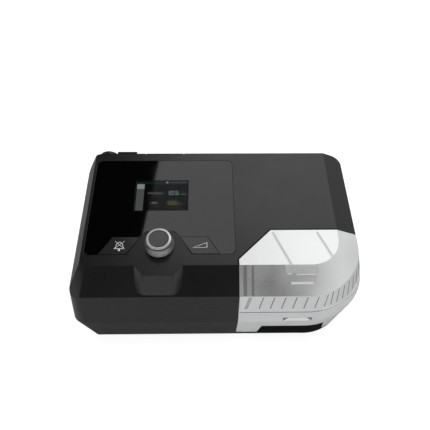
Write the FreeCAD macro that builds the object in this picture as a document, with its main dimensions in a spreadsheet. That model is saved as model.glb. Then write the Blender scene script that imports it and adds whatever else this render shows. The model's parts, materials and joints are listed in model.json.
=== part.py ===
"""Bedside CPAP machine with a slide-out water chamber, as a parametric FreeCAD document.

+Z is up, +Y points to the back and +X to the user's right. The origin is under the middle of
the machine, on the table. The deck is the sloping top face, and "drop" is a height below it.
"""
import FreeCAD
import Part
import math
import os
import Sketcher

V = FreeCAD.Vector

# ---------------------------------------------------------------- driving sizes (mm, degrees)
SIZES = {
    # overall form
    "width": 265, "depth": 145, "height": 114, "foot_height": 1.5, "deck_tilt": 8.2,
    "widest_z": 42.5, "wall": 2.5, "deck_wall": 3.5, "floor_wall": 2.5, "part_gap": 0.3,
    "skirt_left_in": 11.5, "skirt_right_in": 13.3, "skirt_front_in": 12,
    "top_left_in": 5.3, "top_right_in": 18.6, "top_front_in": 3.4,
    "round_fl": 12, "round_fr": 61, "round_br": 10, "round_bl": 14,
    "round_skirt": 4, "round_skirt_fr": 42.5, "round_top_fr": 41.5, "round_top": 8,
    # facets between the deck and the belt line
    "belt_drop": 13.3, "deck_left_in": 12, "deck_right_in": 33.2, "deck_front_in": 22,
    "facet_left_run": 8.5, "facet_right_run": 34.2, "facet_front_run": 19.8,
    "deck_round_fr": 26, "facet_round_growth": 26, "corner_cut_y": 2.6, "corner_cut_x": 6,
    "corner_run_y": 13.3, "corner_run_x": 5.2,
    # chamber bay
    "bay_width": 120, "bay_depth": 56.3, "bay_cut": 28.8, "bay_floor_z": 7.5, "chamber_gap": 0.4,
    "top_lift": 5, "facet_reach": 6, "port_reach": 14,
    # knob pedestal
    "knob_off": 0.5, "knob_in": 41.3, "pedestal_half": 20.3, "pedestal_nose_half": 11.8,
    "pedestal_out": 9, "pedestal_back": 8, "pedestal_foot_in": 2.6, "pedestal_sweep": 0.4,
    # glossy panel, display and keys
    "panel_t": 1.5, "panel_gap": 0.2, "panel_left_in": 14.5, "panel_right_in": 2.5,
    "panel_front_in": 32.5, "panel_back_in": 10, "panel_round": 5, "panel_cut": 3.5,
    "plateau_back_half": 12.3, "plateau_mid_half": 16.9, "plateau_front_half": 27.8,
    "plateau_mid_y": 17.3, "plateau_back_y": 22.8, "key_end": 12.4, "key_slope": 10.6,
    "key_gap": 0.3, "key_t": 1, "key_proud": 0.2, "key_round": 2.5,
    "key_stem_r": 2.5, "key_stem_y": 8, "key_clearance": 0.6,
    "lcd_off": 1.15, "lcd_back_in": 23.8, "lcd_width": 48.3, "lcd_length": 34, "lcd_rim": 2,
    "lcd_t": 2.8, "lcd_frame_wall": 3.5,
    "lens_gap": 0.1, "board_t": 1.6, "board_depth": 10, "switch_side": 6, "switch_t": 3.5,
    "switch_button": 3, "switch_button_r": 1.7, "board_front_in": 36, "board_back_in": 33,
    "board_left_in": 15, "board_right_in": 11, "board_margin": 5,
    # knob and encoder
    "knob_base_r": 12.7, "knob_neck_r": 10.5, "knob_top_r": 10.7, "knob_height": 10, "knob_lift": 0.9,
    "knob_cap_r": 8.6, "knob_cap_t": 1.2, "knob_push": 0.5, "shaft_r": 3, "shaft_fit": 0.05,
    "knob_web": 1.5, "knob_wall": 1.8, "knob_rim": 1, "knob_neck_z": 8.3, "knob_neck_round": 6,
    "knob_top_round": 0.9, "knob_dish": 0.3, "rotor_lift": 1.8, "encoder_floor": 0.4,
    "rotor_r": 4.6, "rotor_t": 2.4, "bush_r": 3.7, "encoder_side": 12, "encoder_t": 6,
    # water chamber
    "chamber_wall": 2.2, "chamber_low_z": 7.8, "chamber_floor_z": 29, "chamber_floor_t": 2.4,
    "chamber_split_z": 56.7, "lid_gap": 0.2, "lid_top_t": 2.4, "seal_in": 0.7, "seal_w": 1, "seal_h": 1,
    "platform_in": 22.9, "platform_width": 56, "platform_draft": 3.6, "platform_gap": 0.4,
    "platform_z": 28.6, "port_r": 8, "inlet_in": 42.5, "inlet_drop": 42,
    "outlet_in": 85.5, "outlet_drop": 30,
    "rib_count": 7, "rib_in": 16.8, "rib_pitch": 9.6, "rib_w": 1.1, "rib_lift": 6, "rib_drop": 34,
    "rib_depth": 1, "latch_in": 39.8, "latch_width": 24.8, "latch_lift": 1.1, "latch_height": 5,
    "latch_t": 1.4, "latch_gap": 0.3, "latch_taper": 4.4, "latch_depth": 2.3, "latch_pin_r": 0.5,
    "latch_pin_in": 1, "latch_pin_drop": 0.9, "latch_pin_reach": 1.9, "corner_rib_count": 6,
    "corner_rib_angle": -63, "corner_rib_step": 11, "plate_lap": 2, "plate_t": 1.2, "guide_wall": 1.4,
    "guide_lift": 5.1, "guide_in": 30.3, "guide_width": 38.6, "guide_lean": 14, "guide_length": 33.5,
    "grip_in": 38.2, "grip_width": 27.6, "grip_narrowing": 3.5, "grip_front_in": 9.6,
    "grip_back_in": 21.4, "grip_t": 0.8,
    # heater
    "heater_side": 3, "heater_back_in": 8.3, "heater_t": 2.6, "heater_gap": 0.3, "heater_proud": 0.2,
    "heater_in": 14, "spring_r": 2.4, "spring_wire": 0.3, "spring_pitch": 4.6, "well_z": 12,
    # air path
    "hose_r": 11, "hose_in": 20.2, "hose_drop": 20, "duct_wall": 1.5, "duct_in": 17, "duct_bend": 12,
    "blower_left_in": 66.5, "blower_in": 52, "blower_drop": 54, "blower_height": 24, "scroll_step": 4.5,
    "scroll_r": 24.75, "scroll_wall": 2, "scroll_outlet": 36, "tongue": 3.3, "eye_r": 11,
    "impeller_r": 21, "impeller_hub_r": 5, "impeller_plate": 1.2, "impeller_height": 14, "blade_count": 9,
    "blade_t": 1, "blade_root_r": 9, "blade_sweep": 40, "impeller_gap": 1.5, "motor_r": 15,
    "motor_height": 26, "motor_shaft_r": 2, "mount_t": 3, "mount_r": 5, "eye_lip": 1, "impeller_hub_z": 10,
    "seal_proud": 0.3,
    "seal_flange": 1.5, "port_collar": 1.5,
    "seal_wall": 2, "filter_left_in": 59.5, "filter_width": 36.9, "filter_drop": 40, "filter_height": 30,
    "filter_groove": 3, "filter_groove_depth": 1.3,
    "filter_cover_t": 1.6, "filter_box_l": 5.2, "filter_wall": 1.5,
    "socket_left_in": 31.7, "socket_width": 18.6, "socket_drop": 15, "socket_height": 13.3, "socket_out": 4,
    "socket_ledge": 2.5, "socket_spigot": 9, "filter_ledge": 1.5, "slot_count": 5, "foam_t": 3,
    "dc_in": 42.5, "dc_z": 24, "dc_r": 5, "dc_half": 6, "dc_length": 13, "dc_bore_r": 2.8, "dc_depth": 9,
    "dc_pin_r": 0.9, "post_r": 3, "post_foot": 2, "screw_r": 1.5, "screw_head_r": 3, "screw_seat_z": 24,
    "screw_grip": 10, "board_screw_grip": 7, "screw_head_t": 2, "foot_t": 2.3,
    "foot_r": 7, "main_right_in": 112.5, "main_gap": 9.7, "main_back_in": 7, "main_width": 88,
    "main_board_z": 12, "can_r": 4.5, "can_height": 14, "can_back_in": 8,
    "can_left_in": 20, "can_pitch": 11,
}


class Size:
    """A number together with the spreadsheet expression that gives it."""

    def __init__(self, value, text):
        self.value = float(value)
        self.text = text

    def __add__(self, other):
        other = as_size(other)
        return Size(self.value + other.value, f"({self.text} + {other.text})")

    def __sub__(self, other):
        other = as_size(other)
        return Size(self.value - other.value, f"({self.text} - {other.text})")

    def __mul__(self, other):
        other = as_size(other)
        return Size(self.value * other.value, f"{self.text} * {other.text}")

    def __truediv__(self, other):
        other = as_size(other)
        return Size(self.value / other.value, f"{self.text} / {other.text}")

    def __neg__(self):
        return Size(-self.value, f"(0 - {self.text})")

    __radd__ = __add__
    __rmul__ = __mul__

    def __rsub__(self, other):
        return as_size(other) - self


def as_size(number):
    if isinstance(number, Size):
        return number
    return Size(number, f"{number}" if number >= 0 else f"(0 - {-number})")


def sin_of(angle):
    return Size(math.sin(math.radians(angle.value)), f"sin({angle.text})")


def cos_of(angle):
    return Size(math.cos(math.radians(angle.value)), f"cos({angle.text})")


def tan_of(angle):
    return Size(math.tan(math.radians(angle.value)), f"tan({angle.text})")


def angle_of(rise, run):
    """Slope in degrees."""
    slope = math.degrees(math.atan2(rise.value, run.value))
    return Size(slope, f"(atan2({rise.text}; {run.text}) / 1 deg)")


doc = FreeCAD.newDocument("cpap_machine")
sheet = doc.addObject("Spreadsheet::Sheet", "dims")
for row, (alias, number) in enumerate(SIZES.items(), 1):
    sheet.set(f"A{row}", alias)
    sheet.set(f"B{row}", str(number))
    sheet.setAlias(f"B{row}", alias)
doc.recompute()


class Dims:
    """Reads a driving size by its alias, as in d.width."""

    def __getattr__(self, alias):
        return Size(SIZES[alias], f"dims.{alias}")


d = Dims()


def bind(obj, prop, amount):
    obj.setExpression(prop, as_size(amount).text)


# ---------------------------------------------------------------- sketch helpers
def place(obj, prop, base, axis=None, angle=None):
    """Bind a placement's base, and its turn about a fixed axis when one is given."""
    base = [as_size(b) for b in base]
    turn = FreeCAD.Rotation()
    if axis is not None:
        turn = FreeCAD.Rotation(V(*axis), as_size(angle).value)
    setattr(obj, prop, FreeCAD.Placement(V(*[b.value for b in base]), turn))
    for letter, amount in zip("xyz", base):
        bind(obj, f"{prop}.Base.{letter}", amount)
    if axis is not None:
        bind(obj, f"{prop}.Rotation.Angle", angle)


def corner_arc(before, corner, after, radius):
    """Tangent points and centre of a rounded corner."""
    to_before = (before - corner).normalize()
    to_after = (after - corner).normalize()
    half = to_before.getAngle(to_after) / 2
    reach = radius / math.tan(half)
    start = corner + to_before * reach
    end = corner + to_after * reach
    centre = corner + (to_before + to_after).normalize() * (radius / math.sin(half))
    return start, end, centre


def outline(sketch, corners):
    """Draw a closed outline; a corner with a third entry is rounded to that radius."""
    corners = [tuple(as_size(c) for c in corner) for corner in corners]
    count = len(corners)
    points = [V(c[0].value, c[1].value, 0) for c in corners]
    enter, leave, centre = list(points), list(points), [None] * count
    for i, corner in enumerate(corners):
        if len(corner) == 3:
            enter[i], leave[i], centre[i] = corner_arc(
                points[i - 1], points[i], points[(i + 1) % count], corner[2].value)
    lines = [sketch.addGeometry(Part.LineSegment(leave[i], enter[(i + 1) % count]), False)
             for i in range(count)]
    rules, bindings = [], []
    for i, corner in enumerate(corners):
        before = lines[i - 1]
        line = lines[i]
        if centre[i] is None:
            rules.append(Sketcher.Constraint("Coincident", before, 2, line, 1))
            held = (line, 1)
        else:
            a, b = enter[i] - centre[i], leave[i] - centre[i]
            left_turn = a.cross(b).z > 0
            first, last = (a, b) if left_turn else (b, a)
            arc = sketch.addGeometry(Part.ArcOfCircle(
                Part.Circle(centre[i], V(0, 0, 1), corner[2].value),
                math.atan2(first.y, first.x), math.atan2(last.y, last.x)), False)
            head, tail = (1, 2) if left_turn else (2, 1)
            rules.append(Sketcher.Constraint("Tangent", before, 2, arc, head))
            rules.append(Sketcher.Constraint("Tangent", arc, tail, line, 1))
            mark = sketch.addGeometry(Part.Point(points[i]), True)
            rules.append(Sketcher.Constraint("PointOnObject", mark, 1, before))
            rules.append(Sketcher.Constraint("PointOnObject", mark, 1, line))
            bindings.append((len(rules), corner[2]))
            rules.append(Sketcher.Constraint("Radius", arc, corner[2].value))
            held = (mark, 1)
        for kind, amount in (("DistanceX", corner[0]), ("DistanceY", corner[1])):
            bindings.append((len(rules), amount))
            rules.append(Sketcher.Constraint(kind, -1, 1, held[0], held[1], amount.value))
    numbers = sketch.addConstraint(rules)
    for index, amount in bindings:
        bind(sketch, f"Constraints[{numbers[index]}]", amount)


# ---------------------------------------------------------------- where a sketch lies
def level(z):
    return (0, 0, z), None, None


def facing_front(y):
    """Upright sketch: its X is the machine's X, its Y is the machine's Z, it looks forward."""
    return (0, y, 0), (1, 0, 0), 90


def on_deck(rise, drop=0):
    """Sketch parallel to the deck, raised along the deck's normal and dropped straight down."""
    rise, drop = as_size(rise), as_size(drop)
    base = (0, back - rise * sin_tilt, d.height + rise * cos_tilt - drop)
    return base, (1, 0, 0), d.deck_tilt


def deck_y(y):
    """A plan Y as a distance along the deck from its back edge."""
    return (y - back) / cos_tilt


# ---------------------------------------------------------------- feature helpers
NODES = []


def free_sketch(name, spot, *outlines):
    sketch = doc.addObject("Sketcher::SketchObject", name)
    place(sketch, "Placement", *spot)
    for corners in outlines:
        outline(sketch, corners)
    return sketch


def prism(name, spot, corners, length):
    """Part extrusion of one outline along its sketch's normal."""
    solid = doc.addObject("Part::Extrusion", name)
    solid.Base = free_sketch(name + "_outline", spot, corners)
    solid.DirMode = "Normal"
    solid.Solid = True
    bind(solid, "LengthFwd", length)
    return solid


def loft(name, *sections):
    solid = doc.addObject("Part::Loft", name)
    solid.Sections = list(sections)
    solid.Solid = True
    solid.Ruled = True
    return solid


def rod(name, base, radius, length, axis=(0, 0, 1), angle=0):
    solid = doc.addObject("Part::Cylinder", name)
    place(solid, "Placement", base, axis, angle)
    bind(solid, "Radius", radius)
    bind(solid, "Height", length)
    return solid


def block(name, low, high):
    """Box between two corners."""
    solid = doc.addObject("Part::Box", name)
    place(solid, "Placement", low)
    for prop, a, b in zip(("Length", "Width", "Height"), low, high):
        bind(solid, prop, as_size(b) - as_size(a))
    return solid


def cut(name, base, *tools):
    for number, tool in enumerate(tools):
        step = doc.addObject("Part::Cut", f"{name}_cut{number}" if number < len(tools) - 1 else name)
        step.Base = base
        step.Tool = tool
        base = step
    return base


def fuse(name, *parts):
    joined = doc.addObject("Part::MultiFuse", name)
    joined.Shapes = list(parts)
    return joined


def common(name, *parts):
    shared = doc.addObject("Part::MultiCommon", name)
    shared.Shapes = list(parts)
    return shared


def compound(name, parts):
    group = doc.addObject("Part::Compound", name)
    group.Links = list(parts)
    return group


def node(obj, label):
    obj.Label = label
    NODES.append(obj)
    return obj


def new_body(name, spot):
    body = doc.addObject("PartDesign::Body", name)
    place(body, "Placement", *spot)
    return body


def body_sketch(body, name, role, *outlines):
    """Sketch on one of the body's own origin planes."""
    sketch = body.newObject("Sketcher::SketchObject", name)
    plane = [f for f in body.Origin.OriginFeatures if f.Role == role][0]
    sketch.AttachmentSupport = [(plane, "")]
    sketch.MapMode = "FlatFace"
    doc.recompute()
    for corners in outlines:
        outline(sketch, corners)
    return sketch


def pad(body, name, sketch, length):
    feature = body.newObject("PartDesign::Pad", name)
    feature.Profile = sketch
    bind(feature, "Length", length)
    return feature


def revolve(body, name, sketch):
    feature = body.newObject("PartDesign::Revolution", name)
    feature.Profile = sketch
    feature.ReferenceAxis = (sketch, ["V_Axis"])
    feature.Angle = 360
    return feature


# ---------------------------------------------------------------- places shared by many pieces
sin_tilt, cos_tilt, tan_tilt = sin_of(d.deck_tilt), cos_of(d.deck_tilt), tan_of(d.deck_tilt)
right = d.width / 2
left = -right
front = -(d.depth + d.port_reach) / 2
back = front + d.depth
bay_back = front + d.bay_depth
bay_x = right - d.bay_width
DIAGONAL = math.sqrt(2) - 1
BEVEL = 2 - math.sqrt(2)  # leg of the bevel that touches an arc of radius 1

panel_left, panel_right = left + d.panel_left_in, bay_x - d.panel_right_in
panel_front, panel_back = front + d.panel_front_in, back - d.panel_back_in
panel_mid = (panel_left + panel_right) / 2
knob_x, knob_y = panel_mid - d.knob_off, front + d.knob_in
key_front_half = (panel_right - panel_left) / 2 - d.key_end
key_back_half = key_front_half - d.key_slope
plateau_mid = panel_front + d.plateau_mid_y
plateau_back = panel_front + d.plateau_back_y
lcd_x = panel_mid - d.lcd_off - d.lcd_width / 2
lcd_front = panel_back - d.lcd_back_in - d.lcd_length

lid_z = d.chamber_split_z + d.lid_gap
inlet_x, inlet_z = bay_x + d.inlet_in, d.height - d.inlet_drop
outlet_x, outlet_z = bay_x + d.outlet_in, d.height - d.outlet_drop
platform_x = bay_x + d.platform_in
latch_x, latch_z = bay_x + d.latch_in, d.widest_z + d.latch_lift

blower_x, blower_y, blower_z = left + d.blower_left_in, front + d.blower_in, d.height - d.blower_drop
hose_x, hose_z = left + d.hose_in, d.height - d.hose_drop
filter_x, filter_z = left + d.filter_left_in, d.height - d.filter_drop
filter_top = filter_z + d.filter_height
socket_x, socket_z = left + d.socket_left_in, d.height - d.socket_drop
dc_x = right - d.dc_in
main_x, main_front = right - d.main_right_in, bay_back + d.main_gap
main_length = back - d.main_back_in - main_front


def deck_z(y):
    return d.height - (back - y) * tan_tilt


# ---------------------------------------------------------------- outer form
def wall_outline(inset, sides, radii, turn=None, bevelled=False):
    """Rectangle given by left, right, front and back, rounded or bevelled to four corner radii."""
    x_low, x_high, y_low, y_high = sides
    front_left, front_right, back_right, back_left = [r - inset for r in radii]
    x_low, x_high, y_low, y_high = x_low + inset, x_high - inset, y_low + inset, y_high - inset
    if turn is not None:
        y_low, y_high = turn(y_low), turn(y_high)
    if not bevelled:
        return [(x_low, y_low, front_left), (x_high, y_low, front_right),
                (x_high, y_high, back_right), (x_low, y_high, back_left)]
    front_left, front_right, back_right, back_left = [
        r * BEVEL for r in (front_left, front_right, back_right, back_left)]
    return [(x_low, y_low + front_left), (x_low + front_left, y_low),
            (x_high - front_right, y_low), (x_high, y_low + front_right),
            (x_high, y_high - back_right), (x_high - back_right, y_high),
            (x_low + back_left, y_high), (x_low, y_high - back_left)]


def widest_outline(inset, bevelled):
    radii = (d.round_fl, d.round_fr, d.round_br, d.round_bl)
    return wall_outline(inset, (left, right, front, back), radii, None, bevelled)


def upper_walls(name, inset=0, bevelled=False):
    """Walls from the widest line to just above the deck, before the facets cut them."""
    sides = (left + d.top_left_in, right - d.top_right_in, front + d.top_front_in, back)
    radii = (d.round_top, d.round_top_fr, d.round_top, d.round_bl)
    return loft(name,
                free_sketch(name + "_low", level(d.widest_z), widest_outline(inset, bevelled)),
                free_sketch(name + "_high", on_deck(d.top_lift),
                            wall_outline(inset, sides, radii, deck_y, bevelled)))


def lower_walls(name, inset=0, bottom=None, bevelled=False):
    """Tucked-in skirt from the underside up to the widest line."""
    sides = (left + d.skirt_left_in, right - d.skirt_right_in, front + d.skirt_front_in, back)
    radii = (d.round_skirt, d.round_skirt_fr, d.round_br, d.round_bl)
    bottom = d.foot_height if bottom is None else bottom
    return loft(name,
                free_sketch(name + "_low", level(bottom),
                            wall_outline(inset, sides, radii, None, bevelled)),
                free_sketch(name + "_high", level(d.widest_z), widest_outline(inset, bevelled)))


def facets(name, drop=0):
    """Deck and the sloping facets round it, carried on past the belt line."""
    def ring(part, share):
        y_low = front + d.deck_front_in - d.facet_front_run * share
        x_low = left + d.deck_left_in - d.facet_left_run * share
        x_high = right - d.deck_right_in + d.facet_right_run * share
        cut_y = front + d.deck_front_in + d.corner_cut_y - d.corner_run_y * share
        cut_x = left + d.deck_left_in + d.corner_cut_x - d.corner_run_x * share
        corners = [(cut_x, deck_y(y_low)),
                   (x_high, deck_y(y_low), d.deck_round_fr + d.facet_round_growth * share),
                   (x_high, deck_y(back + d.wall + d.deck_wall)),
                   (x_low, deck_y(back + d.wall + d.deck_wall)), (x_low, deck_y(cut_y))]
        return free_sketch(f"{name}_{part}", on_deck(0, d.belt_drop * share + drop), corners)
    return loft(name, ring("deck", as_size(0)), ring("belt", d.facet_reach))


def bay(name, grow, bottom, top):
    """Upright prism over the chamber bay's plan, grown or shrunk all round."""
    grow = as_size(grow)
    far = right + d.wall
    near = front - d.wall
    corners = [(bay_x - grow, near), (far, near), (far, bay_back + grow),
               (bay_x + d.bay_cut - grow * DIAGONAL, bay_back + grow),
               (bay_x - grow, bay_back - d.bay_cut + grow * DIAGONAL)]
    return prism(name, level(bottom), corners, as_size(top) - as_size(bottom))


# ---------------------------------------------------------------- housing
def deck_outline(corners):
    """Turn plan corners into corners measured along the deck."""
    return [(corner[0], deck_y(corner[1]), *corner[2:]) for corner in corners]


def deck_prism(name, rise, corners, length):
    return prism(name, on_deck(rise), deck_outline(corners), length)


def pedestal(name):
    """Raised nose that carries the knob over the front slope and fades out at the belt."""
    kx, nose, half = knob_x, d.pedestal_nose_half, d.pedestal_half
    edge = front + d.deck_front_in
    tip, foot = edge - d.pedestal_out, front + d.pedestal_foot_in
    heel = edge + d.pedestal_back
    top = [(kx - nose, tip), (kx + nose, tip), (kx + half, edge), (kx + half, heel),
           (kx - half, heel), (kx - half, edge)]
    low = [(kx - nose, foot), (kx + nose, foot), (kx + half, foot + d.pedestal_sweep), (kx + half, heel),
           (kx - half, heel), (kx - half, foot + d.pedestal_sweep)]
    return loft(name, free_sketch(name + "_top", on_deck(0), deck_outline(top)),
                free_sketch(name + "_low", on_deck(0, d.belt_drop), deck_outline(low)))


def plateau_side(grow, side):
    """The knob plateau's edge, from the panel's front edge round to its back corner."""
    return [(knob_x + side * (d.plateau_front_half - grow), panel_front - grow),
            (knob_x + side * (d.plateau_mid_half - grow), plateau_mid),
            (knob_x + side * (d.plateau_back_half - grow), plateau_back - grow)]


def panel_edge(grow):
    """Right, back and left sides of the panel, rounded, with a cut front left corner."""
    low, high = panel_front - grow, panel_back + grow
    x_low, x_high = panel_left - grow, panel_right + grow
    return [(x_high, low, d.panel_round), (x_high, high, d.panel_round),
            (x_low, high, d.panel_round), (x_low, low + d.panel_cut), (x_low + d.panel_cut, low)]


def recess_outline(grow):
    notch = plateau_side(grow, -1) + plateau_side(grow, 1)[::-1]
    return notch + panel_edge(grow)


def panel_outline():
    """Panel with the plateau and both keys left out."""
    def key_side(side):
        return [(knob_x + side * key_front_half, panel_front),
                (knob_x + side * key_back_half, plateau_mid),
                (knob_x + side * d.plateau_mid_half, plateau_mid),
                (knob_x + side * d.plateau_back_half, plateau_back)]
    return key_side(-1) + key_side(1)[::-1] + panel_edge(0)


def key_outline(side):
    gap = d.key_gap
    return [(knob_x + side * (key_front_half - gap * 2), panel_front + gap),
            (knob_x + side * (key_back_half - gap), plateau_mid - gap),
            (knob_x + side * (d.plateau_mid_half + gap), plateau_mid - gap),
            (knob_x + side * (d.plateau_front_half + gap), panel_front + gap, d.key_round)]


def lcd_window(grow):
    x_low, x_high = lcd_x - grow, lcd_x + d.lcd_width + grow
    y_low, y_high = lcd_front - grow, lcd_front + d.lcd_length + grow
    return [(x_low, y_low), (x_high, y_low), (x_high, y_high), (x_low, y_high)]


def deck_spot(x, y, rise=0):
    """Point over the deck with its Z square to the deck."""
    y, rise = as_size(y), as_size(rise)
    return (x, y - rise * sin_tilt, deck_z(y) + rise * cos_tilt), (1, 0, 0), d.deck_tilt


def deck_rod(name, x, y, rise, radius, length):
    """Cylinder square to the deck that starts at a rise over it and runs up."""
    base, axis, angle = deck_spot(x, y, rise)
    return rod(name, base, radius, length, axis, angle)


upper_outer = fuse("upper_outer", common("upper_body", upper_walls("upper_wall"), facets("facet")),
                   pedestal("pedestal"))
upper_inner = cut("upper_inner", common("upper_hollow", upper_walls("upper_wall_in", d.wall, True),
                                        facets("facet_in", d.deck_wall)),
                  bay("bay_wall", d.wall, d.widest_z - 1, d.height + 1))
KEY_SIDES = {"mute": -1, "ramp": 1}
key_stem_y = panel_front + d.key_stem_y
key_stem_off = (d.plateau_mid_half + key_front_half) / 2
inlet_places = {"inlet": (inlet_x, inlet_z), "outlet": (outlet_x, outlet_z)}


def filter_block(name, grow, near, far, low, high):
    """Box across the filter's width between two distances in front of the back face."""
    return block(name, (filter_x - grow, back - near, low),
                 (filter_x + d.filter_width + grow, back - far, high))


filter_box = filter_block("filter_box", d.filter_wall, d.filter_box_l + d.filter_wall, 1,
                          filter_z - d.filter_wall, filter_top + d.filter_wall)
housing_tools = [
    bay("bay_room", 0, d.widest_z - 2, d.height + 2),
    deck_prism("panel_room", -d.panel_t, recess_outline(d.panel_gap), d.panel_t + 1),
    deck_prism("lcd_room", -d.board_depth, lcd_window(d.lcd_rim + d.lens_gap), d.board_depth),
    deck_rod("bush_room", knob_x, knob_y, -d.board_depth, d.bush_r + d.part_gap, d.board_depth + 1),
    rod("hose_room", (hose_x, back + 1, hose_z), d.hose_r + d.lens_gap, d.wall * 3, (1, 0, 0), 90),
    filter_block("filter_cover_room", 0, d.filter_cover_t, -d.wall, filter_z, d.height + d.wall),
    filter_block("filter_room", -d.filter_ledge, d.filter_box_l, -1, filter_z + d.filter_ledge,
                 filter_top - d.filter_ledge),
    block("socket_room", (socket_x + d.socket_ledge, back - d.wall * 2, socket_z + d.socket_ledge),
          (socket_x + d.socket_width - d.socket_ledge, back + 1, socket_z + d.socket_spigot)),
]
groove_half = d.filter_groove / 2
for number, x in enumerate((filter_x, filter_x + d.filter_width)):
    housing_tools.append(prism(f"filter_groove{number}", level(filter_z), [
        (x - groove_half, back + 1), (x - groove_half, back), (x, back - d.filter_groove_depth),
        (x + groove_half, back), (x + groove_half, back + 1)], d.filter_height * 2))
filter_grooves = housing_tools[-2:]
grille_pitch = (d.filter_height - d.filter_ledge * 2) / d.slot_count
for number in range(SIZES["slot_count"]):
    slot_z = filter_z + d.filter_ledge + grille_pitch * (number + 0.25)
    housing_tools.append(filter_block(f"grille_slot{number}", -d.filter_ledge * 2,
                                      d.filter_box_l + d.wall * 2, 0, slot_z, slot_z + grille_pitch / 2))
for key, side in KEY_SIDES.items():
    housing_tools.append(deck_rod(f"{key}_stem_room", knob_x + side * key_stem_off, key_stem_y,
                                  -d.board_depth, d.key_stem_r + d.key_gap, d.board_depth))
for port, (x, z) in inlet_places.items():
    housing_tools.append(rod(f"{port}_seal_room", (x, bay_back + d.wall * 2, z), d.port_r + d.seal_wall,
                             d.wall * 3, (1, 0, 0), 90))
board_post_places = [(x, y) for x in (panel_left + d.board_left_in, panel_right - d.board_right_in)
                     for y in (front + d.board_front_in, back - d.board_back_in)]
board_posts = [deck_rod(f"board_post{n}", x, y, -d.board_depth, d.post_r,
                        d.board_depth - d.deck_wall + 1)
               for n, (x, y) in enumerate(board_post_places)]
board_bores = [deck_rod(f"board_bore{n}", x, y, -d.board_depth - 1, d.screw_r,
                        d.board_depth - d.deck_wall + 0.5)
               for n, (x, y) in enumerate(board_post_places)]
post_places = ((left + 20, front + 40), (bay_x - 10.5, front + 18), (left + 20, back - 37),
               (bay_x - 3.5, back - 34), (right - 17.5, back - 30))
upper_bosses = common("upper_bosses", upper_outer, fuse("upper_boss_set", *[
    rod(f"upper_boss{n}", (x, y, d.widest_z + d.part_gap), d.post_r, d.height)
    for n, (x, y) in enumerate(post_places)]))
boss_bores = [rod(f"boss_bore{n}", (x, y, 0), d.screw_r, d.widest_z + d.screw_grip)
              for n, (x, y) in enumerate(post_places)]
upper_joined = fuse("upper_joined", cut("upper_shell", upper_outer, upper_inner), filter_box,
                    upper_bosses, *board_posts)
upper = cut("upper_housing_solid", upper_joined, *housing_tools, *board_bores, *boss_bores)
node(upper, "upper_housing")

# ---------------------------------------------------------------- lower housing
lower_outer = lower_walls("lower_wall")
lower_inner = cut("lower_inner", lower_walls("lower_wall_in", d.wall, d.foot_height + d.floor_wall, True),
                  bay("lower_bay_wall", d.wall, 0, d.widest_z + 1))


def platform_outline(gap, bottom):
    """Front view of the heater platform, wider at its foot."""
    x_low, x_high = platform_x - gap, platform_x + d.platform_width + gap
    return [(x_low - d.platform_draft, bottom), (x_high + d.platform_draft, bottom),
            (x_high, d.platform_z + gap), (x_low, d.platform_z + gap)]


heater_front = front + d.heater_in
heater_back = bay_back - d.heater_back_in
heater_left = platform_x + d.heater_side
heater_right = platform_x + d.platform_width - d.heater_side


def heater_block(name, grow, bottom, top):
    return block(name, (heater_left - grow, heater_front - grow, bottom),
                 (heater_right + grow, heater_back + grow, top))


platform = cut("platform_welled", common(
    "platform", lower_walls("platform_wall"),
    prism("platform_block", facing_front(bay_back), platform_outline(0, 0), d.bay_depth)),
    heater_block("heater_well", d.heater_gap, d.well_z, d.platform_z + 1))
lower = cut("lower_shell", lower_outer, lower_inner,
            bay("lower_bay_room", 0, d.bay_floor_z, d.widest_z + 2),
            rod("dc_room", (dc_x, back + 1, d.dc_z), d.dc_r + d.lens_gap, d.wall * 3, (1, 0, 0), 90))
feet_places = ((left + 27, front + 26), (platform_x + d.platform_width - 4, front + 34),
               (left + 27, back - 16), (right - 30, back - 16))
foot_rooms = [rod(f"foot_room{n}", (x, y, 0), d.foot_r, d.foot_t)
              for n, (x, y) in enumerate(feet_places)]
lower_posts = [rod(f"lower_post{n}", (x, y, d.foot_height + 1), d.post_r + d.post_foot,
                   d.widest_z - d.foot_height - 1)
               for n, (x, y) in enumerate(post_places)]
board_z = d.main_board_z
standoff_places = [(main_x + x, main_front + y)
                   for x in (d.board_margin, d.main_width - d.board_margin)
                   for y in (d.board_margin, main_length - d.board_margin)]
standoffs = [rod(f"standoff{n}", (x, y, d.foot_height + 1), d.post_r, board_z - d.foot_height - 1)
             for n, (x, y) in enumerate(standoff_places)]
standoff_bores = [rod(f"standoff_bore{n}", (x, y, board_z - d.board_screw_grip), d.screw_r,
                      d.board_screw_grip + 1) for n, (x, y) in enumerate(standoff_places)]
MOUNT_SPREAD = ((-24, -16), (18, -16), (-10, 31))
mount_places = [(blower_x + x, blower_y + y) for x, y in MOUNT_SPREAD]
blower_posts = [rod(f"blower_post{n}", (x, y, d.foot_height + 1), d.post_r + 1,
                    blower_z - d.mount_t - d.foot_height - 1) for n, (x, y) in enumerate(mount_places)]
screw_rooms = [rod(f"screw_room{n}", (x, y, 0), d.screw_head_r + d.part_gap, d.screw_seat_z)
               for n, (x, y) in enumerate(post_places)]
screw_bores = [rod(f"screw_bore{n}", (x, y, 0), d.screw_r, d.height)
               for n, (x, y) in enumerate(post_places)]
lower_joined = fuse("lower_joined", lower, platform, *lower_posts, *standoffs, *blower_posts)
node(cut("lower_housing_solid", lower_joined, *foot_rooms, *screw_rooms, *screw_bores, *standoff_bores),
     "lower_housing")

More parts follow.
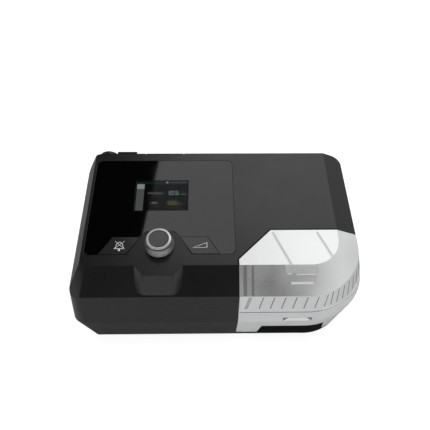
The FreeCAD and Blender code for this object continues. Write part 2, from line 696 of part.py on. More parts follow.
# ---------------------------------------------------------------- panel, display and keys
node(cut("panel_solid", deck_prism("panel_plate", -d.panel_t, panel_outline(), d.panel_t),
         deck_prism("lens_room", -d.panel_t - 1, lcd_window(0), d.panel_t + 2)), "glossy_panel")
node(deck_prism("lens_plate", -d.panel_t, lcd_window(-d.lens_gap), d.panel_t), "display_window")
node(deck_prism("lcd_plate", -d.panel_t - d.lcd_t, lcd_window(d.lcd_rim), d.lcd_t), "display_module")
lcd_bottom = d.panel_t + d.lcd_t
lcd_frame = cut("lcd_frame_solid", deck_prism("lcd_frame_block", -d.board_depth, lcd_window(d.lcd_rim),
                                              d.board_depth - lcd_bottom),
                deck_prism("lcd_frame_room", -d.board_depth - 1, lcd_window(d.lcd_rim - d.lcd_frame_wall),
                           d.board_depth - lcd_bottom + 2))
node(lcd_frame, "display_frame")
for key, side in KEY_SIDES.items():
    x = knob_x + side * key_stem_off
    cap = deck_prism(f"{key}_cap", d.key_proud - d.key_t, key_outline(side), d.key_t)
    stem_end = d.board_depth - d.switch_t - d.switch_button - d.key_clearance
    stem = deck_rod(f"{key}_stem", x, key_stem_y, -stem_end, d.key_stem_r, stem_end)
    node(fuse(f"{key}_solid", cap, stem), f"{key}_button")
switches = []
for key, side in KEY_SIDES.items():
    x = knob_x + side * key_stem_off
    half = d.switch_side / 2
    corners = [(x - half, key_stem_y - half), (x + half, key_stem_y - half),
               (x + half, key_stem_y + half), (x - half, key_stem_y + half)]
    box = deck_prism(f"{key}_switch_box", -d.board_depth, corners, d.switch_t)
    dot = deck_rod(f"{key}_switch_dot", x, key_stem_y, -d.board_depth, d.switch_button_r,
                   d.switch_t + d.switch_button)
    switches.append(fuse(f"{key}_switch", box, dot))
node(compound("key_switch_set", switches), "key_switches")
board_low = [edge - d.board_margin for edge in board_post_places[0]]
board_high = [edge + d.board_margin for edge in board_post_places[-1]]
board_corners = [board_low, (board_high[0], board_low[1]), board_high, (board_low[0], board_high[1])]
board_bottom = d.board_depth + d.board_t
board_plate = deck_prism("display_board_plate", -board_bottom, board_corners, d.board_t)
board_holes = [deck_rod(f"board_hole{n}", x, y, -board_bottom - 1, d.screw_r + d.lens_gap, d.board_t + 2)
               for n, (x, y) in enumerate(board_post_places)]
node(cut("display_board_solid", board_plate, *board_holes), "display_board")
board_screws = []
for number, (x, y) in enumerate(board_post_places):
    head = deck_rod(f"board_screw_head{number}", x, y, -board_bottom - d.screw_head_t, d.screw_head_r,
                    d.screw_head_t)
    shank = deck_rod(f"board_screw_shank{number}", x, y, -board_bottom, d.screw_r, d.board_screw_grip)
    board_screws.append(fuse(f"board_screw{number}", head, shank))
node(compound("board_screw_set", board_screws), "display_screws")


# ---------------------------------------------------------------- encoder and knob
def knob_rod(name, rise, radius, length):
    return deck_rod(name, knob_x, knob_y, rise, radius, length)


half_side = d.encoder_side / 2
encoder_corners = [(knob_x - half_side, knob_y - half_side), (knob_x + half_side, knob_y - half_side),
                   (knob_x + half_side, knob_y + half_side), (knob_x - half_side, knob_y + half_side)]
bore_r = d.shaft_r + d.shaft_fit
rotor_rise = d.rotor_lift - d.board_depth
encoder = cut("encoder_solid", fuse(
    "encoder_block", deck_prism("encoder_box", -d.board_depth, encoder_corners, d.encoder_t),
    knob_rod("encoder_bush", d.encoder_t - d.board_depth, d.bush_r, d.board_depth - d.encoder_t)),
    knob_rod("rotor_room", rotor_rise - d.shaft_fit, d.rotor_r + d.shaft_fit, d.rotor_t + d.shaft_fit * 2),
    knob_rod("shaft_room", d.encoder_floor - d.board_depth, bore_r, d.board_depth + 1))
node(encoder, "encoder_body")
node(cut("rotor_solid", knob_rod("rotor_disc", rotor_rise, d.rotor_r, d.rotor_t),
         knob_rod("rotor_bore", rotor_rise - 1, bore_r, d.rotor_t + 2)), "encoder_rotor")
shaft_rise = d.encoder_floor + d.knob_push + d.lens_gap - d.board_depth
shaft_top = d.knob_lift + d.knob_height - d.knob_cap_t - d.knob_web
node(knob_rod("shaft_rod", shaft_rise, d.shaft_r, shaft_top - shaft_rise), "encoder_shaft")

knob_top = d.knob_lift + d.knob_height
knob = new_body("knob", deck_spot(knob_x, knob_y))
hollow_r, hollow_top = d.knob_neck_r - d.knob_wall, shaft_top - d.knob_web
knob_profile = body_sketch(knob, "knob_profile", "XZ_Plane", [
    (d.shaft_r, d.knob_lift), (d.shaft_r + d.knob_wall, d.knob_lift), (d.shaft_r + d.knob_wall, hollow_top),
    (hollow_r, hollow_top), (d.knob_base_r - d.knob_wall, d.knob_lift),
    (d.knob_base_r, d.knob_lift), (d.knob_base_r, d.knob_lift + d.knob_rim),
    (d.knob_neck_r, d.knob_neck_z, d.knob_neck_round), (d.knob_top_r, knob_top, d.knob_top_round),
    (d.knob_cap_r, knob_top), (d.knob_cap_r, knob_top - d.knob_cap_t), (0, knob_top - d.knob_cap_t),
    (0, shaft_top), (d.shaft_r, shaft_top)])
revolve(knob, "knob_turned", knob_profile)
node(knob, "knob_body")
cap_r = d.knob_cap_r - d.lens_gap
insert = new_body("insert", deck_spot(knob_x, knob_y, knob_top - d.knob_cap_t))
insert_profile = body_sketch(insert, "insert_profile", "XZ_Plane", [
    (0, 0), (cap_r, 0), (cap_r, d.knob_cap_t - d.knob_dish), (cap_r - d.knob_dish, d.knob_cap_t),
    (cap_r - d.knob_dish * 4, d.knob_cap_t - d.knob_dish), (0, d.knob_cap_t - d.knob_dish)])
revolve(insert, "insert_turned", insert_profile)
node(insert, "knob_insert")

# ---------------------------------------------------------------- water chamber
room_inset = d.chamber_wall


def chamber_slice(name, inset, low, high):
    """Chamber's form between two heights above the widest line, shrunk by an inset."""
    return common(name, upper_walls(name + "_wall", inset),
                  bay(name + "_plan", -(d.chamber_gap + inset), low, high))


def skirt_slice(name, inset, low, high):
    """Chamber's form between two heights below the widest line, shrunk by an inset."""
    return common(name, lower_walls(name + "_wall", inset),
                  bay(name + "_plan", -(d.chamber_gap + inset), low, high))


seal_low = lid_z - d.seal_h
seal = cut("seal_ring", chamber_slice("seal_outer", d.seal_in, seal_low, lid_z),
           chamber_slice("seal_inner", d.seal_in + d.seal_w, seal_low - 1, lid_z + 1))
node(seal, "chamber_seal")

floor_top = d.chamber_floor_z + d.chamber_floor_t
latch_top = latch_z + d.latch_height
latch_mid = latch_x + d.latch_width / 2


def latch_outline(gap):
    low, high = latch_z + gap, latch_top - gap
    half = d.latch_width / 2 - gap
    return [(latch_mid - half, low), (latch_mid + half, low), (latch_mid + half - d.latch_taper, high),
            (latch_mid - half + d.latch_taper, high)]


def latch_pin(name, radius, reach):
    half = d.latch_width / 2 - d.latch_taper + reach
    return rod(name, (latch_mid - half, front + d.latch_pin_in, latch_top - d.latch_pin_drop), radius,
               half * 2, (0, 1, 0), 90)


latch_pad = common("latch_pad", upper_walls("latch_pad_wall"), block(
    "latch_pad_block", (latch_x - d.chamber_wall, front, d.widest_z),
    (latch_x + d.latch_width + d.chamber_wall, front + d.chamber_wall * 2, latch_top + d.chamber_wall)))


def plate_block(name, grow, low, high):
    """Block over the heater's plan, for the chamber's metal plate."""
    return heater_block(name, d.plate_lap + grow, low, high)


base_outer = fuse("base_outer", skirt_slice("skirt", 0, d.chamber_low_z, d.widest_z),
                  chamber_slice("base_upper", 0, d.widest_z, d.chamber_split_z))
base_room = fuse("base_room", skirt_slice("skirt_water", room_inset, floor_top, d.widest_z),
                 chamber_slice("base_water", room_inset, d.widest_z, d.chamber_split_z + 1))
base = cut("base_shell", base_outer, base_room,
           skirt_slice("skirt_room", room_inset, d.chamber_low_z - 1, d.chamber_floor_z))
base_tools = [
    prism("platform_room", facing_front(bay_back), platform_outline(d.platform_gap, 0), d.bay_depth + 2),
    seal,
    plate_block("plate_room", d.lens_gap, d.chamber_floor_z - 1, d.chamber_floor_z + d.plate_t),
    plate_block("plate_window", -d.plate_lap * 2, d.chamber_floor_z, floor_top + 1),
    prism("latch_room", facing_front(front + d.latch_depth), latch_outline(0), d.latch_depth + 1),
    latch_pin("latch_bore", d.latch_pin_r + d.shaft_fit, d.latch_pin_reach + d.lens_gap),
]
node(cut("chamber_base_solid", fuse("base_joined", base, latch_pad), *base_tools), "chamber_base")
node(plate_block("plate_solid", 0, d.chamber_floor_z, d.chamber_floor_z + d.plate_t), "chamber_plate")
latch = common("latch_plate", prism("latch_face", facing_front(front + d.wall * 4),
                                    latch_outline(d.latch_gap), d.wall * 5),
               cut("latch_layer", upper_walls("latch_outer"), upper_walls("latch_inner", d.latch_t)))
node(fuse("latch_solid", latch, latch_pin("latch_pins", d.latch_pin_r, d.latch_pin_reach)),
     "chamber_latch")


def lid_slice(name, inset, drop, low):
    return common(name, upper_walls(name + "_wall", inset), facets(name + "_top", drop),
                  bay(name + "_plan", -(d.chamber_gap + inset), low, d.height))


rib_low, rib_high = lid_z + d.rib_lift, d.height - d.rib_drop
rib_layer = cut("rib_layer", upper_walls("rib_outer", d.chamber_wall - d.lens_gap),
                upper_walls("rib_inner", d.chamber_wall + d.rib_depth))
rib_blades = []
for number in range(SIZES["rib_count"]):
    x = bay_x + d.rib_in + d.rib_pitch * number
    rib_blades.append(block(f"rib_blade{number}", (x - d.rib_w / 2, front, rib_low),
                            (x + d.rib_w / 2, front + d.round_fr / 2, rib_high)))
turn_x, turn_y = right - d.round_fr, front + d.round_fr
for number in range(SIZES["corner_rib_count"]):
    angle = d.corner_rib_angle + d.corner_rib_step * number
    blade = doc.addObject("Part::Box", f"corner_rib{number}")
    place(blade, "Placement", (turn_x + d.round_top_fr / 2 * cos_of(angle),
                               turn_y + d.round_top_fr / 2 * sin_of(angle), rib_low), (0, 0, 1), angle)
    bind(blade, "Length", d.round_fr)
    bind(blade, "Width", d.rib_w)
    bind(blade, "Height", rib_high - rib_low)
    rib_blades.append(blade)
ribs = common("lid_ribs", rib_layer, fuse("rib_blade_set", *rib_blades))
lid_ports = [rod(f"lid_{port}", (x, bay_back, z), d.port_r, d.chamber_wall * 3, (1, 0, 0), 90)
             for port, (x, z) in inlet_places.items()]
lid = cut("lid_shell", lid_slice("lid_outer", 0, 0, lid_z),
          lid_slice("lid_room", room_inset, d.lid_top_t, lid_z - 1), *lid_ports)
grip_left, grip_narrow = bay_x + d.grip_in, d.grip_narrowing
grip_right = grip_left + d.grip_width
grip_front, grip_back = front + d.grip_front_in, front + d.grip_back_in
grip = cut("grip_room", prism("grip_block", level(lid_z), [
    (grip_left + grip_narrow, grip_front), (grip_right - grip_narrow, grip_front),
    (grip_right, grip_back), (grip_left, grip_back)], d.height), facets("grip_floor", d.grip_t))
node(cut("chamber_lid_solid", fuse("lid_joined", lid, ribs), grip), "chamber_lid")

guide_back = bay_back - d.chamber_gap - d.chamber_wall
guide_front = guide_back - d.guide_length
guide_left, guide_low = bay_x + d.guide_in, lid_z + d.guide_lift
guide_right = guide_left + d.guide_width


def guide_outline(inset):
    """Leaning four-sided duct seen from above."""
    return [(guide_left + inset, guide_back), (guide_right - inset, guide_back),
            (guide_right + d.guide_lean - inset, guide_front + inset),
            (guide_left + d.guide_lean + inset, guide_front + inset)]


guide = common("guide_outer", prism("guide_block", level(guide_low), guide_outline(0), d.height),
               facets("guide_top", d.lid_top_t), upper_walls("guide_wall", d.chamber_wall))
node(cut("guide_solid", guide, prism("guide_room", level(guide_low - 1), guide_outline(d.guide_wall),
                                     d.height)), "air_guide")

# ---------------------------------------------------------------- heater
heater_top = d.platform_z + d.heater_proud
node(heater_block("heater_solid", 0, heater_top - d.heater_t, heater_top), "heater_plate")
spring_low = d.well_z + d.spring_wire
spring_inset = d.spring_r * 2.5
springs = []
spring_places = [(x, y) for x in (heater_left + spring_inset, heater_right - spring_inset)
                 for y in (heater_front + spring_inset, heater_back - spring_inset)]
for number, (centre_x, centre_y) in enumerate(spring_places):
    helix = doc.addObject("Part::Helix", f"spring_helix{number}")
    place(helix, "Placement", (centre_x, centre_y, spring_low))
    bind(helix, "Radius", d.spring_r)
    bind(helix, "Pitch", d.spring_pitch)
    bind(helix, "Height", heater_top - d.heater_t - d.spring_wire - spring_low)
    near_x, far_x = d.spring_r - d.spring_wire, d.spring_r + d.spring_wire
    wire = doc.addObject("Sketcher::SketchObject", f"spring_wire{number}")
    place(wire, "Placement", (centre_x, centre_y, spring_low), (1, 0, 0), 90)
    outline(wire, [(near_x, -d.spring_wire), (far_x, -d.spring_wire), (far_x, d.spring_wire),
                   (near_x, d.spring_wire)])
    coil = doc.addObject("Part::Sweep", f"spring{number}")
    coil.Sections = [wire]
    coil.Spine = (helix, ["Edge1"])
    coil.Solid = True
    coil.Frenet = True
    springs.append(coil)
node(compound("spring_set", springs), "heater_springs")

# ---------------------------------------------------------------- blower
def scroll(name, z, grow, height):
    """Four-centre volute: each quarter arc is larger by one step than the one before it."""
    sketch = doc.addObject("Sketcher::SketchObject", name + "_outline")
    place(sketch, "Placement", (blower_x, blower_y, z))
    half, grow = d.scroll_step / 2, as_size(grow)
    centres = [(half, -half), (-half, -half), (-half, half), (half, half)]
    radii = [d.scroll_r + grow + d.scroll_step * n for n in range(4)]
    lip = d.scroll_r - half - grow
    start_y = lip if grow.value else lip - d.tongue
    start = math.asin((start_y - centres[0][1]).value / radii[0].value)
    arcs = []
    for n, ((x, y), radius) in enumerate(zip(centres, radii)):
        first = -math.pi / 2 * n
        last = first + math.pi / 2 if n else start
        arcs.append(sketch.addGeometry(Part.ArcOfCircle(
            Part.Circle(V(x.value, y.value, 0), V(0, 0, 1), radius.value), first, last), False))
    end_x = d.scroll_outlet - (0 if grow.value else d.scroll_wall)
    top = half + radii[3]
    start_x = centres[0][0].value + radii[0].value * math.cos(start)
    corners = [V(half.value, top.value, 0), V(end_x.value, top.value, 0), V(end_x.value, lip.value, 0),
               V(start_x, lip.value, 0), V(start_x, start_y.value, 0)]
    if grow.value:
        corners.pop()
    lines = [sketch.addGeometry(Part.LineSegment(a, b), False) for a, b in zip(corners, corners[1:])]
    rules, bindings = [], []

    def measure(kind, amount, *spots):
        bindings.append((len(rules), amount))
        rules.append(Sketcher.Constraint(kind, *spots, amount.value))

    measure("DistanceX", centres[0][0], -1, 1, arcs[0], 3)
    measure("DistanceY", centres[0][1], -1, 1, arcs[0], 3)
    measure("DistanceY", start_y, -1, 1, arcs[0], 2)
    for n, arc in enumerate(arcs):
        measure("Radius", radii[n], arc)
        rules.append(Sketcher.Constraint("Vertical" if n % 2 else "Horizontal", arc, 1, arc, 3))
        if n:
            rules.append(Sketcher.Constraint("Tangent", arcs[n - 1], 1, arc, 2))
    rules.append(Sketcher.Constraint("Tangent", arcs[3], 1, lines[0], 1))
    for before, line in zip(lines, lines[1:]):
        rules.append(Sketcher.Constraint("Coincident", before, 2, line, 1))
    rules.append(Sketcher.Constraint("Coincident", lines[-1], 2, arcs[0], 2))
    for n, line in enumerate(lines[1:], 1):
        rules.append(Sketcher.Constraint("Vertical" if n % 2 else "Horizontal", line))
    measure("DistanceX", end_x, -1, 1, lines[0], 2)
    if not grow.value:
        measure("DistanceY", lip, -1, 1, lines[1], 2)
    numbers = sketch.addConstraint(rules)
    for index, amount in bindings:
        bind(sketch, f"Constraints[{numbers[index]}]", amount)
    solid = doc.addObject("Part::Extrusion", name)
    solid.Base = sketch
    solid.DirMode = "Normal"
    solid.Solid = True
    bind(solid, "LengthFwd", height)
    return solid


cover_z = blower_z + d.blower_height - d.scroll_wall
shaft_low = blower_z - d.motor_height
outlet_y = blower_y + d.scroll_r + d.scroll_step * 1.5
blower_mid = blower_z + d.blower_height / 2
outlet_end = blower_x + d.scroll_outlet
volute = cut("volute_solid", scroll("volute_outer", blower_z, d.scroll_wall, cover_z - blower_z),
             scroll("volute_room", blower_z + d.scroll_wall, 0, d.blower_height),
             rod("volute_eye", (blower_x, blower_y, blower_z - 1), d.motor_shaft_r * 2, d.wall * 2),
             rod("volute_outlet", (outlet_end - d.scroll_wall * 2, outlet_y, inlet_z), d.port_r,
                 d.scroll_wall * 3, (0, 1, 0), 90))
node(volute, "blower_volute")
cover = cut("blower_cover_solid", fuse(
    "blower_cover_joined", scroll("cover_plate", cover_z, d.scroll_wall, d.scroll_wall),
    rod("cover_lip", (blower_x, blower_y, cover_z - d.eye_lip), d.eye_r + d.scroll_wall,
        d.eye_lip + d.scroll_wall)),
    rod("cover_eye", (blower_x, blower_y, cover_z - d.eye_lip - 1), d.eye_r, d.blower_height))
node(cover, "blower_cover")

impeller_z = blower_z + d.scroll_wall + d.impeller_gap
impeller = new_body("wheel", ((blower_x, blower_y, impeller_z), None, None))
wheel_profile = body_sketch(impeller, "wheel_profile", "XZ_Plane", [
    (d.motor_shaft_r, 0), (d.impeller_r, 0), (d.impeller_r, d.impeller_plate),
    (d.impeller_hub_r + d.impeller_plate, d.impeller_plate, d.impeller_plate),
    (d.impeller_hub_r, d.impeller_hub_z), (d.motor_shaft_r, d.impeller_hub_z)])
revolve(impeller, "wheel_hub", wheel_profile)


def polar(radius, angle):
    return radius * cos_of(angle), radius * sin_of(angle)


def blade_side(shift):
    """One side of a blade, from its root out to its tip, moved sideways."""
    sweep = d.blade_sweep
    places = (polar(d.blade_root_r, as_size(0)), polar((d.blade_root_r + d.impeller_r) / 2, sweep * 0.4),
              polar(d.impeller_r - d.blade_t, sweep))
    (x0, y0), (x1, y1), (x2, y2) = places
    return [(x0, y0 + shift), (x1, y1 + shift, d.impeller_r / 2), (x2, y2 + shift)]


blade_sketch = body_sketch(impeller, "blade_outline", "XY_Plane",
                           blade_side(-d.blade_t / 2) + blade_side(d.blade_t / 2)[::-1])
blade = pad(impeller, "blade", blade_sketch, d.impeller_height)
fan = impeller.newObject("PartDesign::PolarPattern", "blades")
fan.Originals = [blade]
fan.Axis = (blade_sketch, ["N_Axis"])
fan.Angle = 360
bind(fan, "Occurrences", d.blade_count)
impeller.Tip = fan
node(impeller, "impeller")
motor_can = rod("motor_can", (blower_x, blower_y, shaft_low), d.motor_r, d.motor_height)
motor_bore = rod("motor_bore", (blower_x, blower_y, shaft_low + d.wall), d.motor_shaft_r + d.shaft_fit,
                 d.motor_height)
node(cut("motor_solid", motor_can, motor_bore), "blower_motor")
shaft_end = impeller_z + d.impeller_hub_z
node(rod("motor_shaft_rod", (blower_x, blower_y, shaft_low + d.wall + d.lens_gap), d.motor_shaft_r,
         shaft_end - shaft_low - d.wall - d.lens_gap), "motor_shaft")
node(compound("mount_set", [rod(f"mount{n}", (x, y, blower_z - d.mount_t), d.mount_r, d.mount_t)
                            for n, (x, y) in enumerate(mount_places)]), "blower_mounts")

# ---------------------------------------------------------------- ducts and seals
def seal_ring(port, x, z):
    """Soft collar in the bay's back wall, with a flange behind the wall."""
    wall_back = bay_back + d.wall
    collar = rod(f"{port}_collar", (x, wall_back + 1, z), d.port_r + d.seal_wall,
                 d.wall + 1 + d.seal_proud, (1, 0, 0), 90)
    flange = rod(f"{port}_flange", (x, wall_back + d.seal_flange, z), d.port_r + d.seal_wall * 2,
                 d.seal_flange, (1, 0, 0), 90)
    hole = rod(f"{port}_hole", (x, wall_back + d.wall * 2, z), d.port_r, d.wall * 5, (1, 0, 0), 90)
    return cut(f"{port}_seal_solid", fuse(f"{port}_seal_joined", collar, flange), hole)


for port, (x, z) in inlet_places.items():
    node(seal_ring(port, x, z), f"{port}_seal")
duct_start = bay_back + d.wall + d.seal_flange
tube_r = d.port_r + d.duct_wall


def bend(name, base, axis, angle, radius):
    """Quarter of a ring, from its own +X round to its own +Y."""
    ring = doc.addObject("Part::Torus", name)
    place(ring, "Placement", base, axis, angle)
    bind(ring, "Radius1", d.duct_bend)
    bind(ring, "Radius2", radius)
    ring.Angle3 = 90
    return ring


def blower_run(name, radius):
    """Level tube from the volute round to the chamber's inlet."""
    bend_x = inlet_x - d.duct_bend
    bend_y = outlet_y - d.duct_bend
    return fuse(name,
                rod(name + "_out", (outlet_end, outlet_y, inlet_z), radius, bend_x - outlet_end,
                    (0, 1, 0), 90),
                bend(name + "_bend", (bend_x, bend_y, inlet_z), None, None, radius),
                rod(name + "_in", (inlet_x, bend_y, inlet_z), radius, bend_y - duct_start,
                    (1, 0, 0), 90))


climb = angle_of(hose_z - outlet_z, outlet_x - hose_x)
duct_y = back - d.duct_in


def return_run(name, radius):
    """Tube from the chamber's outlet that climbs along the back to the hose port."""
    reach, rise = d.duct_bend * cos_of(climb), d.duct_bend * sin_of(climb)
    bend_y = duct_y - d.duct_bend
    across = (outlet_x - hose_x) / cos_of(climb) - d.duct_bend * 2
    tilt_axis = (math.sin(math.radians(climb.value / 2)), 0, math.cos(math.radians(climb.value / 2)))
    return fuse(name,
                rod(name + "_in", (outlet_x, bend_y, outlet_z), radius, bend_y - duct_start,
                    (1, 0, 0), 90),
                bend(name + "_bend", (outlet_x - reach, bend_y, outlet_z + rise), (0, 1, 0), climb, radius),
                rod(name + "_across", (outlet_x - reach, duct_y, outlet_z + rise), radius, across,
                    (0, 1, 0), climb - 90),
                bend(name + "_turn", (hose_x + reach, duct_y + d.duct_bend, hose_z - rise), tilt_axis,
                     180, radius))


node(cut("blower_duct_solid", blower_run("blower_tube", tube_r), blower_run("blower_air", d.port_r)),
     "blower_duct")
node(cut("return_duct_solid", return_run("return_tube", tube_r), return_run("return_air", d.port_r)),
     "return_duct")
port_start = duct_y + d.duct_bend
port_tube = fuse("port_joined",
                 rod("port_tube", (hose_x, back + d.port_reach, hose_z), d.hose_r,
                     back + d.port_reach - port_start, (1, 0, 0), 90),
                 rod("port_collar", (hose_x, back + d.port_collar, hose_z), d.hose_r + d.port_collar,
                     d.port_collar, (1, 0, 0), 90))
node(cut("air_port_solid", port_tube, rod("port_bore", (hose_x, back + d.port_reach + 1, hose_z),
                                          d.port_r, d.port_reach * 3, (1, 0, 0), 90)), "air_port")
socket_high = socket_z + d.socket_spigot
socket = cut("socket_solid", fuse(
    "socket_joined",
    block("socket_hood", (socket_x, back, socket_z),
          (socket_x + d.socket_width, back + d.socket_out, socket_z + d.socket_height)),
    block("socket_spigot", (socket_x + d.socket_ledge + d.lens_gap, back - d.wall * 2,
                            socket_z + d.socket_ledge + d.lens_gap),
          (socket_x + d.socket_width - d.socket_ledge - d.lens_gap, back + 1, socket_high - d.lens_gap))),
    block("socket_slot", (socket_x + d.socket_ledge * 2, back - d.wall, socket_z + d.socket_ledge * 1.6),
          (socket_x + d.socket_width - d.socket_ledge * 2, back + d.wall * 2, socket_high - 1)))
node(socket, "hose_socket")

# ---------------------------------------------------------------- filter
cover_block = filter_block("filter_cover_block", -d.part_gap, d.filter_cover_t - d.lens_gap, 0,
                           filter_z + d.part_gap, d.height + 1)
cover_slots = [filter_block(f"cover_slot{n}", -d.filter_ledge * 2.5, d.wall * 2, -1,
                            filter_z + d.filter_ledge + grille_pitch * (n + 0.25),
                            filter_z + d.filter_ledge + grille_pitch * (n + 0.75))
               for n in range(SIZES["slot_count"])]
cover_plate = common("filter_cover_plate", cover_block, upper_walls("filter_cover_wall"),
                     facets("filter_cover_top"))
node(cut("filter_cover_solid", cover_plate, *cover_slots, *filter_grooves), "filter_cover")
foam_back = d.filter_cover_t + d.part_gap
node(filter_block("filter_foam_block", -d.filter_ledge - d.part_gap, foam_back + d.foam_t,
                  foam_back, filter_z + d.filter_ledge + d.part_gap,
                  filter_top - d.filter_ledge - d.part_gap), "filter_foam")

# ---------------------------------------------------------------- boards, power inlet, feet, screws
board_top = board_z + d.board_t
main_plate = block("main_plate", (main_x, main_front, board_z),
                   (main_x + d.main_width, main_front + main_length, board_top))
main_holes = [rod(f"main_hole{n}", (x, y, board_z - 1), d.screw_r + d.lens_gap, d.board_t + 2)
              for n, (x, y) in enumerate(standoff_places)]
node(cut("main_board_solid", main_plate, *main_holes), "main_board")
# corner on the board, width, length and height of each chip, relay and connector
CHIPS = ((16, 14, 16, 16, 1.6), (42, 12, 11, 11, 1.4), (62, 12, 9, 9, 1.4), (14, 38, 24, 13, 7),
         (46, 38, 14, 6, 9), (74, 26, 10, 22, 11))
chips = [block(f"chip{n}", (main_x + x, main_front + y, board_top),
               (main_x + x + wide, main_front + y + long, board_top + tall))
         for n, (x, y, wide, long, tall) in enumerate(CHIPS)]
can_y = main_front + main_length - d.can_back_in
cans = [rod(f"capacitor{n}", (main_x + d.can_left_in + d.can_pitch * n, can_y, board_top),
            d.can_r, d.can_height) for n in range(3)]
node(compound("board_part_set", chips + cans), "board_components")
dc_back = back - d.wall
dc = cut("dc_solid", fuse(
    "dc_joined", block("dc_block", (dc_x - d.dc_half, dc_back - d.dc_length, board_top),
                       (dc_x + d.dc_half, dc_back, d.dc_z + d.dc_half)),
    rod("dc_barrel", (dc_x, back, d.dc_z), d.dc_r, d.wall + 1, (1, 0, 0), 90)),
    rod("dc_bore", (dc_x, back + 1, d.dc_z), d.dc_bore_r, d.dc_depth + 1, (1, 0, 0), 90))
dc_pin = rod("dc_pin", (dc_x, back - d.wall, d.dc_z), d.dc_pin_r, d.dc_depth, (1, 0, 0), 90)
node(fuse("dc_inlet_solid", dc, dc_pin), "dc_inlet")
node(compound("foot_set", [rod(f"foot{n}", (x, y, 0), d.foot_r - d.lens_gap, d.foot_t)
                           for n, (x, y) in enumerate(feet_places)]), "rubber_feet")


def upright_screw(name, x, y, seat, head, shank):
    """Head beside its seat and a shank past it; a negative length points down."""
    ends = sorted((seat, seat + head), key=lambda z: z.value)
    tips = sorted((seat, seat + shank), key=lambda z: z.value)
    return fuse(name, rod(name + "_head", (x, y, ends[0]), d.screw_head_r, ends[1] - ends[0]),
                rod(name + "_shank", (x, y, tips[0]), d.screw_r, tips[1] - tips[0]))


node(compound("housing_screw_set", [
    upright_screw(f"housing_screw{n}", x, y, d.screw_seat_z, -d.screw_head_t,
                  d.widest_z + d.screw_grip - 1 - d.screw_seat_z)
    for n, (x, y) in enumerate(post_places)]), "housing_screws")
node(compound("main_screw_set", [
    upright_screw(f"main_screw{n}", x, y, board_top, d.screw_head_t, -d.board_screw_grip)
    for n, (x, y) in enumerate(standoff_places)]), "board_screws")

# ---------------------------------------------------------------- check and write
doc.recompute()
broken = [o.Name for o in doc.Objects if "Invalid" in o.State or "Error" in o.State]
if broken:
    raise RuntimeError(f"failed features: {broken}")
for piece in NODES:
    if piece.Shape.isNull() or not piece.Shape.isValid():
        raise RuntimeError(f"bad shape: {piece.Label}")
os.makedirs("parts", exist_ok=True)
for piece in NODES:
    piece.Shape.exportStep(f"parts/{piece.Label}.step")
    print(piece.Label, len(piece.Shape.Solids), round(piece.Shape.Volume, 1))
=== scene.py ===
"""Looks of the CPAP machine: finishes, the display's picture, the keys' symbols, floor, light and camera."""

import json
import math

import bmesh
import bpy
from mathutils import Matrix, Vector
from mathutils.bvhtree import BVHTree


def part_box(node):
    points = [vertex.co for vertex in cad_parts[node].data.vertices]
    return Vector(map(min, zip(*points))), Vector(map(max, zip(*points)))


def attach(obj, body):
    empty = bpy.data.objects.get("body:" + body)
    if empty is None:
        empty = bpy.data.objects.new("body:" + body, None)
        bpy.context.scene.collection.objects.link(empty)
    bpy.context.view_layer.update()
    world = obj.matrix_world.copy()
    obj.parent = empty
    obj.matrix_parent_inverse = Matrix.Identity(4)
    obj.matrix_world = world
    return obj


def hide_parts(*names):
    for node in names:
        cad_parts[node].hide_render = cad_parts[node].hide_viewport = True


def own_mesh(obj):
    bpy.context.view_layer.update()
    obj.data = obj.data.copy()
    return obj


MM = 0.001
SLOPE = math.radians(8.2)
DECK_NORMAL = Vector((0, -math.sin(SLOPE), math.cos(SLOPE)))
DECK_BACK = Vector((0, math.cos(SLOPE), math.sin(SLOPE)))

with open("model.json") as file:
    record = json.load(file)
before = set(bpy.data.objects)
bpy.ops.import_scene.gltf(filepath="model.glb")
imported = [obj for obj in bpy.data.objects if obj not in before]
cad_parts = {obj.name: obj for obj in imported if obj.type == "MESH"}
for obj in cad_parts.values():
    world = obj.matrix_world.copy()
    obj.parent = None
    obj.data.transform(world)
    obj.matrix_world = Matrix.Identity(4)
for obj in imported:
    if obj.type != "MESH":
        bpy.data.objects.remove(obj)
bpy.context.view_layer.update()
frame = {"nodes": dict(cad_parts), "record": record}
nodes = frame["nodes"]
knob_low, knob_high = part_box("knob_body")


def top_of_panel():
    """Point of the panel's upper face at its back edge."""
    corners = [vertex.co for vertex in nodes["glossy_panel"].data.vertices]
    crown = max(corners, key=lambda corner: (round(corner.dot(DECK_NORMAL), 6), corner.y))
    return Vector((0, crown.y, crown.z))


deck_edge = top_of_panel()


# ---- shader helpers
FLOAT, COLOUR, VECTOR = "NodeSocketFloat", "NodeSocketColor", "NodeSocketVector"
NOISE_MIDDLE = (0.3, 0.7)


def group_shell(name, inputs, outputs):
    """New shader node group with named sockets; returns the group, its input node and its output node."""
    group = bpy.data.node_groups.new(name, "ShaderNodeTree")
    for label, kind, value in inputs:
        socket = group.interface.new_socket(label, in_out="INPUT", socket_type=kind)
        socket.default_value = value
    for label, kind in outputs:
        group.interface.new_socket(label, in_out="OUTPUT", socket_type=kind)
    source = group.nodes.new("NodeGroupInput")
    target = group.nodes.new("NodeGroupOutput")
    return group, source, target


def add(tree, kind, **values):
    """Add a node and set its properties, or its inputs where no property has the name."""
    made = tree.nodes.new(kind)
    for label, value in values.items():
        if hasattr(made, label):
            setattr(made, label, value)
        else:
            made.inputs[label.replace("_", " ")].default_value = value
    return made


def drive(tree, node, **sources):
    """Link outputs to the node's inputs of the same names."""
    for label, source in sources.items():
        tree.links.new(source, node.inputs[label.replace("_", " ")])


def math_step(tree, operation, first, second):
    """Math node on two values, each a number or a socket; returns its output."""
    step = add(tree, "ShaderNodeMath", operation=operation)
    for slot, value in enumerate((first, second)):
        if isinstance(value, (int, float)):
            step.inputs[slot].default_value = value
        else:
            tree.links.new(value, step.inputs[slot])
    return step.outputs[0]


